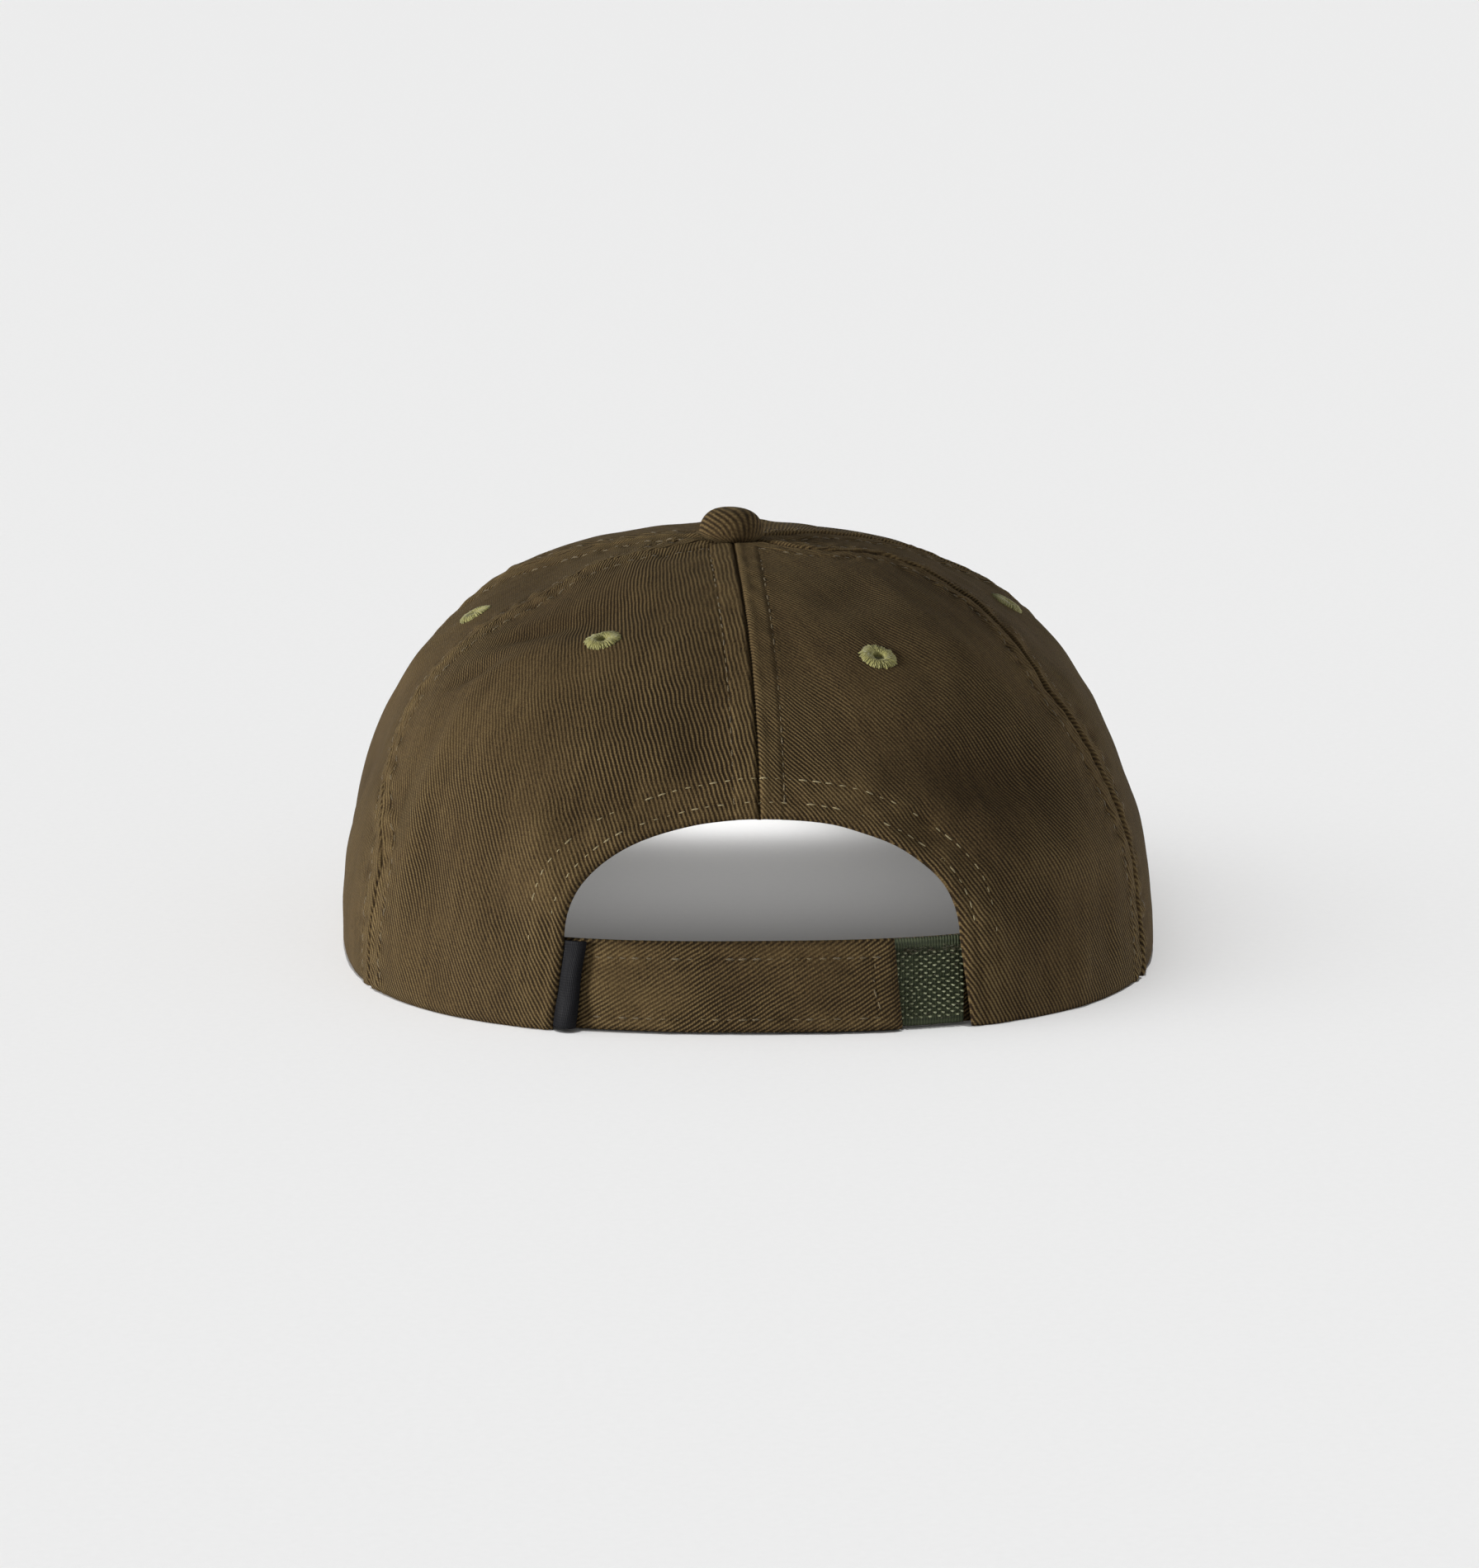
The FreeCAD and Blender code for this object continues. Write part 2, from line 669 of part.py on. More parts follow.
def visor_nodes():
    return {
        "visor_board": visor_layer(BOARD_OFFSETS, BOARD_MARGIN),
        "visor_top_cover": visor_layer(TOP_COVER_OFFSETS, 0.0),
        "visor_under_cover": visor_layer(UNDER_COVER_OFFSETS, 0.0),
    }


def button_nodes():
    return {
        "button_cover": button_cover(),
        "button_shell": button_shell(),
        "button_rivet": button_rivet(),
    }


def main():
    os.makedirs("parts", exist_ok=True)
    nodes = {}
    for group in (crown_nodes, lining_nodes, closure_nodes, visor_nodes, button_nodes):
        nodes.update(group())
    for name in EYELETS:
        nodes[name] = eyelet(name)
    for name, shape in nodes.items():
        box = shape.BoundBox
        print(f"{name}: valid {shape.isValid()}, solids {len(shape.Solids)}, "
              f"volume {shape.Volume:.0f} mm3, x {box.XMin:.1f}..{box.XMax:.1f}, "
              f"y {box.YMin:.1f}..{box.YMax:.1f}, z {box.ZMin:.2f}..{box.ZMax:.2f}")
        shape.exportStep(f"parts/{name}.step")


main()
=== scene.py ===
import math

import bpy
import numpy as np
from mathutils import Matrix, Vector


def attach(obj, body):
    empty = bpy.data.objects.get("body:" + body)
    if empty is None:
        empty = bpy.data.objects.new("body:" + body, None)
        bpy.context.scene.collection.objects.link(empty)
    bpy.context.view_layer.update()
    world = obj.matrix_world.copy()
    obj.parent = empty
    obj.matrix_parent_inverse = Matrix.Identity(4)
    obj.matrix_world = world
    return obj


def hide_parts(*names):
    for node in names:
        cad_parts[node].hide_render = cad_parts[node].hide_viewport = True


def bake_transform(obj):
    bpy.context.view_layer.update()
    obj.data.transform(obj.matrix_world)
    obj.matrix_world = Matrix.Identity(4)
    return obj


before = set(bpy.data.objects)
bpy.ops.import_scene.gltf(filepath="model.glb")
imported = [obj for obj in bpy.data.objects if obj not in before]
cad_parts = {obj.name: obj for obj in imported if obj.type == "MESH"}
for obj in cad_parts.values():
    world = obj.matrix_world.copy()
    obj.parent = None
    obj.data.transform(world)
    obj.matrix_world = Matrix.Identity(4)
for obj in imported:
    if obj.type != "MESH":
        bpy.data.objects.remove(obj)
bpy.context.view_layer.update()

# Looks of a six-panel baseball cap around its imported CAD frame.
# Shapes are worked out in millimetres and degrees, and become metres when a mesh is made.
MM = 0.001

# Driving dimensions shared with the CAD model
HALF_WIDTH = 88.0
HALF_LENGTH = 96.0
PLAN_POWER = 2.7
CROWN_HEIGHT = 86.0
SIDE_POWER = 2.30
REAR_POWER = 2.08
FRONT_POWER = 2.35
CROWN_LEAN = 3.0
LEAN_POWER = 6
FRONT_RIM_LIFT = 24.0
FRONT_RIM_SPREAD = 95.0
FRONT_RIM_POWER = 3
REAR_SEAM = 90.0
REAR_LEFT_SEAM = 33.0
REAR_RIGHT_SEAM = 149.0
FRONT_SEAM = -90.0
FRONT_LEFT_SEAM = -29.0
FRONT_RIGHT_SEAM = -151.0
SEAMS = (REAR_SEAM, REAR_LEFT_SEAM, FRONT_LEFT_SEAM, FRONT_SEAM, FRONT_RIGHT_SEAM, REAR_RIGHT_SEAM - 360.0)
SEAM_TAPES = ("rear_centre_seam_tape", "rear_seam_tape_left", "front_seam_tape_left",
              "front_centre_seam_tape", "front_seam_tape_right", "rear_seam_tape_right")
# Bow of the side seams at the back: turn toward the sides, what stays of it at the button,
# and the rises between which it comes in
SEAM_BOWS = {REAR_LEFT_SEAM: (-18.0, -7.0, 16.0, 40.0), REAR_RIGHT_SEAM: (26.0, 0.0, 41.0, 70.0)}
SEAM_BOW_END = (68.0, 82.0)
APEX_HOLE_RADIUS = 2.4
ARCH_CENTRE_X = -0.4
ARCH_HALF_WIDTH = 41.0
ARCH_BASE_HEIGHT = 18.5
ARCH_RISE = 24.6
ARCH_POWER = 2.2
ARCH_LEG_FLARE = 2.6
FACING_WIDTH = 9.5
STRAP_BOTTOM = 0.6
STRAP_HEIGHT = 18.5
STRAP_TOP = STRAP_BOTTOM + STRAP_HEIGHT
STRAP_THICKNESS = 1.2
STRAP_ROOT_DEPTH = 1.7
STRAP_LAP_DEPTH = 0.2
STRAP_DROP_X = 36.0
STRAP_END_X = -28.0
SEWN_END_X = 49.0
TAB_DEPTH = 2.5
TAB_END_X = -3.0
# x of the lines that the strap, the label and the tab turn about
STRAP_HINGE_X = 41.5
LABEL_HINGE_X = 40.73
TAB_HINGE_X = -43.4
VISOR_SPREAD = 58.0
VISOR_HALF_WIDTH = 82.5
VISOR_BACK_Y = -52.0
VISOR_TIP_Y = -168.0
VISOR_POWER = 2.2
VISOR_TIP_HEIGHT = 17.0
VISOR_CORNER_HEIGHT = 1.85
VISOR_MID_DROP = 1.85
VISOR_TUCK = 1.5
VISOR_CROSS_BULGE = 1.6
BUTTON_RADIUS = 6.75
BUTTON_HEIGHT = 6.9
BUTTON_RING = 1.75
BUTTON_TUCK = 48.0

# Cloth layers: depth below the crown's outer surface
PANEL_THICKNESS = 0.8
BUCKRAM_DEPTHS = (0.9, 1.5)
TAPE_DEPTHS = (0.9, 2.0)
FACING_DEPTHS = (0.9, 1.6)
PADDING_DEPTHS = (2.2, 2.8)
SWEATBAND_DEPTHS = (2.9, 3.7)

# Sewing
SEAM_STITCH = 5.2
ARCH_STITCHES = (2.7, 7.0)
STITCH_PITCH = 2.75
STITCH_LENGTH = 2.1
THREAD_RADIUS = 0.17
VISOR_ROWS = (3.0, 10.0, 17.0, 24.0, 31.0, 38.0)
STRAP_ROWS = (STRAP_BOTTOM + 2.6, STRAP_TOP - 3.4)
TAPE_BOTTOM_RIB = 1.5
TAPE_TOP_RIB = 2.4
TAPE_HALF_WIDTH = 6.4

# Cloth: direction of the twill's ribs in degrees, and how far apart they are
RIB_ANGLE = 27.0
RIB_PITCH = 0.82

# Strength of the surroundings at the horizon and overhead
HORIZON_LIGHT = 0.72
SKY_LIGHT = 0.22

SURFACE_STEP = 0.05
TO_MILLIMETRES = (1000, 1000, 1000)

EYELETS = {
    "front_left": (-60.0, 53.0),
    "front_right": (-120.0, 53.0),
    "side_left": (-5.0, 50.5),
    "side_right": (-170.0, 50.5),
    "rear_left": (57.0, 57.0),
    "rear_right": (116.0, 53.5),
}
EYELET_HOLE = 1.5
EYELET_RADIUS = 4.0
EYELET_THREAD = 0.215

# Soft dents and swellings of the cloth: angle, rise, half-widths across and up, slant, height
DENTS = (
    (125.0, 34.0, 20.0, 8.5, -14.0, -3.4),
    (113.5, 27.0, 9.0, 5.0, -34.0, -1.8),
    (131.0, 21.0, 18.0, 7.0, -10.0, 1.5),
    (112.0, 47.0, 14.0, 9.0, 10.0, 1.0),
    (133.0, 52.0, 9.0, 13.0, -20.0, 1.0),
    (122.0, 66.0, 10.0, 6.0, 20.0, -1.0),
    (99.0, 58.0, 5.0, 16.0, 4.0, -0.7),
    (104.0, 28.0, 5.0, 7.0, 0.0, -0.8),
    (74.0, 31.5, 12.0, 4.2, 12.0, -2.0),
    (69.0, 39.0, 14.0, 5.0, 16.0, 0.9),
    (61.5, 24.0, 5.0, 10.0, 30.0, 1.2),
    (81.0, 40.0, 5.0, 15.0, -6.0, -1.3),
    (57.0, 16.0, 5.0, 9.0, 24.0, -1.1),
    (48.0, 38.0, 12.0, 14.0, 0.0, 1.2),
    (50.0, 61.0, 13.0, 7.0, 24.0, -1.7),
    (36.0, 56.0, 9.0, 3.0, 42.0, -1.8),
    (33.0, 47.0, 8.0, 2.8, 46.0, -1.5),
    (38.5, 49.0, 8.0, 3.0, 44.0, 0.8),
    (39.0, 30.0, 4.0, 24.0, 4.0, 0.9),
    (34.0, 20.0, 3.2, 18.0, 2.0, -0.9),
    (44.0, 19.0, 6.0, 12.0, 18.0, -1.0),
    (47.0, 6.0, 7.0, 7.0, 30.0, -0.9),
    (126.0, 4.0, 4.0, 9.0, 8.0, -1.0),
    (132.0, 6.0, 3.5, 10.0, 8.0, 0.9),
    (138.5, 7.0, 3.2, 11.0, 4.0, -0.8),
    (119.0, 12.0, 4.5, 10.0, 14.0, 0.8),
    (0.0, 24.0, 16.0, 10.0, 12.0, -1.4),
    (4.0, 60.0, 30.0, 19.0, 0.0, -2.8),
    (-8.0, 40.0, 12.0, 8.0, -18.0, 1.0),
    (178.0, 26.0, 14.0, 9.0, -12.0, -1.7),
    (190.0, 42.0, 10.0, 7.0, 20.0, 1.0),
    (-50.0, 30.0, 18.0, 9.0, 10.0, -1.0),
    (-128.0, 34.0, 16.0, 8.0, -10.0, -1.1),
)


# ---------------------------------------------------------------- crown surface

def smooth(value, low, high):
    share = np.clip((value - low) / (high - low), 0.0, 1.0)
    return share * share * (3 - 2 * share)


def bell(value, width):
    return np.exp(-(value / width) ** 2)


def turn_from(angle, centre):
    """Turn from one angle to another, between -180 and 180 degrees."""
    return (angle - centre + 180.0) % 360.0 - 180.0


def wall_power(angle):
    sine = np.sin(np.radians(angle))
    end_power = np.where(sine > 0, REAR_POWER, FRONT_POWER)
    return SIDE_POWER + (end_power - SIDE_POWER) * sine ** 2


def plan_reach(angle):
    theta = np.radians(angle)
    across = np.abs(np.cos(theta)) / HALF_WIDTH
    along = np.abs(np.sin(theta)) / HALF_LENGTH
    return (across ** PLAN_POWER + along ** PLAN_POWER) ** (-1 / PLAN_POWER)


def wall_shape(angle, rise):
    """Distance from the crown's axis, and share of its height, at an angle up the wall."""
    phi = np.radians(rise)
    power = wall_power(angle)
    reach = (np.abs(np.cos(phi)) ** power + np.abs(np.sin(phi)) ** power) ** (-1 / power)
    return plan_reach(angle) * reach * np.cos(phi), reach * np.sin(phi)


def rim_height(angle):
    """Height of the rim: flat at the back and sides, arched over the visor."""
    share = np.clip(turn_from(angle, FRONT_SEAM) / FRONT_RIM_SPREAD, -1.0, 1.0)
    return FRONT_RIM_LIFT * (1 - share ** 2) ** FRONT_RIM_POWER


def crown_point(angle, rise):
    """Point of the crown's smooth outer surface."""
    radius, height = wall_shape(angle, rise)
    theta = np.radians(angle)
    rim = rim_height(angle)
    x = radius * np.cos(theta) + CROWN_LEAN * np.abs(height) ** LEAN_POWER
    return np.stack([x, radius * np.sin(theta), rim + (CROWN_HEIGHT - rim) * height], -1)


def unit(vectors):
    return vectors / np.maximum(np.linalg.norm(vectors, axis=-1, keepdims=True), 1e-9)


def surface_steps(angle, rise):
    """Steps around the wall and up it, over twice SURFACE_STEP degrees each."""
    around = crown_point(angle + SURFACE_STEP, rise) - crown_point(angle - SURFACE_STEP, rise)
    upward = crown_point(angle, rise + SURFACE_STEP) - crown_point(angle, rise - SURFACE_STEP)
    return around, upward


def crown_normal(angle, rise):
    return unit(np.cross(*surface_steps(angle, rise)))


def rise_at_height(angle, height):
    """Angle up the wall at which the smooth surface reaches a height."""
    rim = rim_height(angle)
    share = np.clip((height - rim) / (CROWN_HEIGHT - rim), 0.0, 0.9999)
    power = wall_power(angle)
    return np.degrees(np.arctan2(share, (1 - share ** power) ** (1 / power)))


def rise_at_radius(angle, radius):
    """Angle up the wall at which the surface is a radius from the crown's axis."""
    power = wall_power(angle)
    share = radius / plan_reach(angle)
    return np.degrees(np.arctan2((1 - share ** power) ** (1 / power), share))


def rear_place(x, height):
    """Angle and rise of the point of the rear wall at an x and a height."""
    x, height = np.broadcast_arrays(np.asarray(x, float), np.asarray(height, float))
    low = np.zeros(x.shape)
    high = np.full(x.shape, 180.0)
    for _ in range(34):
        middle = (low + high) / 2
        right = crown_point(middle, rise_at_height(middle, height))[..., 0] > x
        low = np.where(right, middle, low)
        high = np.where(right, high, middle)
    angle = (low + high) / 2
    return angle, rise_at_height(angle, height)


def wave_noise(points, size, seed, waves=12):
    """Smooth repeatable noise of about unit height, with lumps of a size."""
    rng = np.random.default_rng(seed)
    direction = unit(rng.normal(size=(waves, 3)))
    direction *= (2 * math.pi / size) * rng.uniform(0.6, 1.5, (waves, 1))
    phase = rng.uniform(0, 2 * math.pi, waves)
    return np.sin(points @ direction.T + phase).sum(-1) / math.sqrt(waves)


def seam_line(seam, rise):
    """Angle of a seam at a rise: straight up the wall, or bowed between the rim and the button."""
    turn, left, start, full = SEAM_BOWS.get(seam % 360.0, (0.0, 0.0, 0.0, 1.0))
    return seam + turn * smooth(rise, start, full) + (left - turn) * smooth(rise, *SEAM_BOW_END)


def seam_frame(angle, rise):
    """Signed distance to the nearest seam, and distance up it."""
    radius, _ = wall_shape(angle, rise)
    offsets = []
    for seam in SEAMS:
        turn = turn_from(angle, seam_line(seam, rise))
        sideways = radius * np.sin(np.radians(turn))
        offsets.append(np.where(np.abs(turn) < 90.0, sideways, 999.0))
    offsets = np.stack(offsets)
    nearest = np.abs(offsets).argmin(0)
    return np.take_along_axis(offsets, nearest[None], 0)[0], np.radians(rise) * HALF_LENGTH


def fold_relief(angle, rise):
    """Slump and soft dents that all layers of the crown share."""
    point = crown_point(angle, rise)
    radius, _ = wall_shape(angle, rise)
    value = 0.28 * wave_noise(point, 34.0, 11) + 0.12 * wave_noise(point, 13.0, 12)
    for centre, up, wide, tall, slant, depth in DENTS:
        across = np.radians(turn_from(angle, centre)) * radius
        along = np.radians(rise - up) * HALF_LENGTH
        tilt = math.radians(slant)
        u = across * math.cos(tilt) + along * math.sin(tilt)
        v = along * math.cos(tilt) - across * math.sin(tilt)
        value = value + depth * np.exp(-(u / wide) ** 2 - (v / tall) ** 2)
    above_rim = smooth(np.radians(rise) * HALF_LENGTH, 0.0, 12.0)
    return value * (0.25 + 0.75 * above_rim) * smooth(radius, 4.0, 14.0)


def seam_relief(angle, rise):
    """Grooves, turned allowances and puckers along the seams."""
    offset, along = seam_frame(angle, rise)
    away = np.abs(offset)
    point = crown_point(angle, rise)
    radius, _ = wall_shape(angle, rise)
    centre_back = np.abs(turn_from(angle, REAR_SEAM)) < 40.0
    value = np.where(centre_back, -0.7 * bell(away, 0.36), -1.1 * bell(away, 0.62))
    value += 0.30 * (1 - smooth(away, SEAM_STITCH - 0.2, SEAM_STITCH + 1.4))
    value += np.where(centre_back, 0.24, 0.34) * bell(away - 1.2, 0.9) * np.where(offset > 0, 1.0, 0.2)
    value -= 0.30 * bell(away - SEAM_STITCH, 0.55)
    wander = 1.6 * wave_noise(point, 24.0, 21)
    ripple = np.sin(along * 2 * math.pi / 6.4 + wander + np.where(offset > 0, 0.0, 1.7))
    swell = 0.6 + 0.5 * np.clip(wave_noise(point, 30.0, 22), -1, 1)
    strength = np.where(centre_back, 0.14, 0.30)
    value += strength * ripple * swell * bell(away - SEAM_STITCH - 0.6, 2.8)
    value += np.where(centre_back, 0.07, 0.16) * wave_noise(point, 4.6, 23) * bell(away - 3.2, 4.2)
    return value * smooth(radius, 2.0, 9.0)


# ---------------------------------------------------------------- rear opening

def arch_side(height):
    """Half-width of the opening's legs below its curved part."""
    return ARCH_HALF_WIDTH + ARCH_LEG_FLARE * (1 - height / ARCH_BASE_HEIGHT)


def arch_distance(x, height):
    """Distance outside the opening's edge, in the plane of x and height; negative inside."""
    side = x - ARCH_CENTRE_X
    up = np.maximum(height - ARCH_BASE_HEIGHT, 0.0)
    a = np.abs(side) / ARCH_HALF_WIDTH
    b = up / ARCH_RISE
    size = np.maximum((a ** ARCH_POWER + b ** ARCH_POWER) ** (1 / ARCH_POWER), 1e-6)
    slope_x = (a / size) ** (ARCH_POWER - 1) / ARCH_HALF_WIDTH
    slope_z = (b / size) ** (ARCH_POWER - 1) / ARCH_RISE
    curved = (size - 1) / np.maximum(np.hypot(slope_x, slope_z), 1e-6)
    straight = np.abs(side) - arch_side(height)
    return np.where(height > ARCH_BASE_HEIGHT, curved, straight)


def arch_point(turn, grow):
    """Point (x, height) of the opening's outline; turn runs from -1, left foot, to 1, right foot."""
    turn = np.asarray(turn, float)
    leg = 0.14
    along = np.clip((np.abs(turn) - (1 - leg)) / leg, 0.0, 1.0)
    sweep = np.radians(90.0 * np.clip(np.abs(turn) / (1 - leg), 0.0, 1.0))
    power = 2 / ARCH_POWER
    side = np.sin(sweep) ** power * (ARCH_HALF_WIDTH + grow) + ARCH_LEG_FLARE * along
    up = np.where(along > 0, 0.0, np.cos(sweep) ** power * (ARCH_RISE + grow))
    height = ARCH_BASE_HEIGHT * (1 - along) + up
    return ARCH_CENTRE_X - np.sign(turn) * side, height


def hem_relief(x, height):
    """Turned hem around the opening, with its two stitched grooves."""
    away = arch_distance(x, height)
    value = 0.32 * (1 - smooth(away, 7.2, 9.4)) - 0.55 * bell(away, 0.45)
    for row in ARCH_STITCHES:
        value -= 0.24 * bell(away - row, 0.55)
    points = np.stack([x, height, height * 0], -1)
    value += 0.12 * wave_noise(points, 5.5, 31) * bell(away - 4.8, 3.6)
    value += 0.10 * wave_noise(points, 11.0, 32) * bell(away - 9.0, 5.0)
    return value


# ---------------------------------------------------------------- meshes

def make_object(name, points, faces, uvs, material, wear_and_shade=None):
    """Mesh object from points in millimetres; uvs are in millimetres of cloth."""
    mesh = bpy.data.meshes.new(name)
    faces = faces.tolist() if isinstance(faces, np.ndarray) else faces
    mesh.from_pydata((points * MM).tolist(), [], faces)
    layer = mesh.uv_layers.new(name="cloth")
    corners = np.zeros(len(mesh.loops), np.int64)
    mesh.loops.foreach_get("vertex_index", corners)
    layer.data.foreach_set("uv", (uvs[corners] * MM).astype(np.float32).ravel())
    mesh.polygons.foreach_set("use_smooth", np.ones(len(mesh.polygons), bool))
    # Per-point attribute of rubbed places and of painted shade, for the cloth's colour.
    if wear_and_shade is not None:
        layer = mesh.attributes.new("wear_and_shade", "FLOAT", "POINT")
        layer.data.foreach_set("value", wear_and_shade.astype(np.float32))
    mesh.materials.append(material)
    mesh.update()
    made = bpy.data.objects.new(name, mesh)
    bpy.context.scene.collection.objects.link(made)
    return made


def grid_faces(columns, rows, wrap=False):
    """Quads of a grid whose point number is column * rows + row."""
    last = columns if wrap else columns - 1
    column = np.arange(last)[:, None]
    row = np.arange(rows - 1)[None, :]
    after = (column + 1) % columns
    quads = [column * rows + row, after * rows + row, after * rows + row + 1, column * rows + row + 1]
    return np.stack([q + 0 * row for q in quads], -1).reshape(-1, 4)


def free_edges(faces, count):
    """Edges that only one quad has, of a mesh with a count of points."""
    edges = np.concatenate([faces[:, [k, (k + 1) % 4]] for k in range(4)])
    codes = edges[:, 0] * count + edges[:, 1]
    return edges[~np.isin(codes, edges[:, 1] * count + edges[:, 0])]


def closed_shell(outer, inner, faces, bulge):
    """Points and faces of a solid sheet between two layers, with its edge rounded by a bulge."""
    count = len(outer)
    lone = free_edges(faces, count)
    out = np.zeros_like(outer)
    normal = unit(outer - inner)
    along = unit(outer[lone[:, 1]] - outer[lone[:, 0]])
    for end in (0, 1):
        np.add.at(out, lone[:, end], np.cross(along, normal[lone[:, end]]))
    border = np.unique(lone)
    middle = (outer[border] + inner[border]) / 2 + unit(out[border]) * bulge
    number = np.zeros(count, np.int64)
    number[border] = 2 * count + np.arange(len(border))
    a, b = lone[:, 0], lone[:, 1]
    upper = np.stack([b, a, number[a], number[b]], -1)
    lower = np.stack([number[b], number[a], a + count, b + count], -1)
    points = np.concatenate([outer, inner, middle])
    source = np.concatenate([np.arange(count), np.arange(count), border])
    return points, np.concatenate([faces, faces[:, ::-1] + count, upper, lower]), source


def sheet_piece(name, outer, inner, uvs, material, bulge=0.12, faces=None, wear_and_shade=None):
    """Closed piece from two grids of points, with a per-point value for how rubbed its cloth is, above 0,
    or how darkened by painted shade, below 0.
    """
    if faces is None:
        faces = grid_faces(outer.shape[0], outer.shape[1])
    points, quads, source = closed_shell(outer.reshape(-1, 3), inner.reshape(-1, 3), faces, bulge)
    used = np.unique(quads)
    number = np.zeros(len(points), np.int64)
    number[used] = np.arange(len(used))
    flat = uvs.reshape(-1, 2)[source]
    if wear_and_shade is not None:
        wear_and_shade = wear_and_shade.ravel()[source][used]
    return make_object(name, points[used], number[quads], flat[used], material, wear_and_shade)


def tube_faces(rings, sides):
    """Faces of one capped tube whose point number is ring * sides + side."""
    side = np.arange(sides)
    faces = []
    for ring in range(rings - 1):
        low = ring * sides
        high = low + sides
        after = (side + 1) % sides
        faces += np.stack([low + side, low + after, high + after, high + side], -1).tolist()
    return faces, side[::-1].tolist(), ((rings - 1) * sides + side).tolist()


def tubes_piece(name, centres, normals, radii, sides, material):
    """One piece of many short tubes: centres (count, rings, 3), normals alike, radii (rings) or alike."""
    count, rings = centres.shape[:2]
    along = unit(np.gradient(centres, axis=1))
    across = unit(np.cross(normals, along))
    upward = np.cross(along, across)
    turn = np.arange(sides) * 2 * math.pi / sides
    radii = np.broadcast_to(radii, (count, rings))[..., None, None]
    ring = across[:, :, None] * np.cos(turn)[:, None] + upward[:, :, None] * np.sin(turn)[:, None]
    points = (centres[:, :, None] + ring * radii).reshape(-1, 3)
    quads, first, last = tube_faces(rings, sides)
    faces = []
    for start in range(0, count * rings * sides, rings * sides):
        faces += [[start + corner for corner in face] for face in (*quads, first, last)]
    length = np.arange(rings)[None, :, None] * 0.5 + np.arange(count)[:, None, None] * 3.0
    around = np.arange(sides)[None, None, :] * 0.3
    uvs = np.stack(np.broadcast_arrays(length, around), -1).reshape(-1, 2)
    return make_object(name, points, faces, uvs, material)


def stitch_places(path, normals, seed, pitch=STITCH_PITCH, length=STITCH_LENGTH, start=1.0):
    """Centres and normals of the rings of each stitch along a dense path."""
    rng = np.random.default_rng(seed)
    run = np.concatenate([[0.0], np.cumsum(np.linalg.norm(np.diff(path, axis=0), axis=1))])
    begin = np.arange(start, run[-1] - length, pitch)
    begin = begin + rng.uniform(-0.12, 0.12, len(begin))
    share = np.array([0.0, 0.12, 0.35, 0.65, 0.88, 1.0])
    lift = np.array([-0.36, -0.06, 0.09, 0.09, -0.06, -0.36]) + rng.uniform(-0.26, 0.0, (len(begin), 1))
    place = begin[:, None] + length * share * rng.uniform(0.92, 1.06, (len(begin), 1))
    centres = np.stack([np.interp(place, run, path[:, k]) for k in range(3)], -1)
    upward = unit(np.stack([np.interp(place, run, normals[:, k]) for k in range(3)], -1))
    along = unit(np.gradient(centres, axis=1))
    sideways = np.cross(upward, along) * rng.uniform(-0.09, 0.09, (len(begin), 1, 1))
    skew = sideways * (share - 0.5)[None, :, None] * 2
    return centres + upward * lift[..., None] + skew, upward


def stitches_piece(name, runs, material, radius=THREAD_RADIUS):
    """One piece from several stitched runs."""
    centres = np.concatenate([run[0] for run in runs])
    normals = np.concatenate([run[1] for run in runs])
    radii = radius * np.array([0.6, 1.0, 1.05, 1.05, 1.0, 0.6])
    return tubes_piece(name, centres, normals, radii, 6, material)


def finish_piece(piece, body, slot, *nodes):
    """The piece moves with a body and stands for the nodes, whose CAD parts are hidden; slot is not used.
    """
    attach(piece, body)
    if nodes:
        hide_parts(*nodes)


# ---------------------------------------------------------------- materials

def srgb(red, green, blue):
    """Linear colour from the usual 0 to 255 values."""
    parts = [value / 255 for value in (red, green, blue)]
    return tuple(p / 12.92 if p < 0.04 else ((p + 0.055) / 1.055) ** 2.4 for p in parts) + (1.0,)


def fill(tree, socket, value):
    """Gives a shader socket a link from another socket, or a value."""
    if isinstance(value, bpy.types.NodeSocket):
        tree.links.new(value, socket)
    else:
        socket.default_value = value


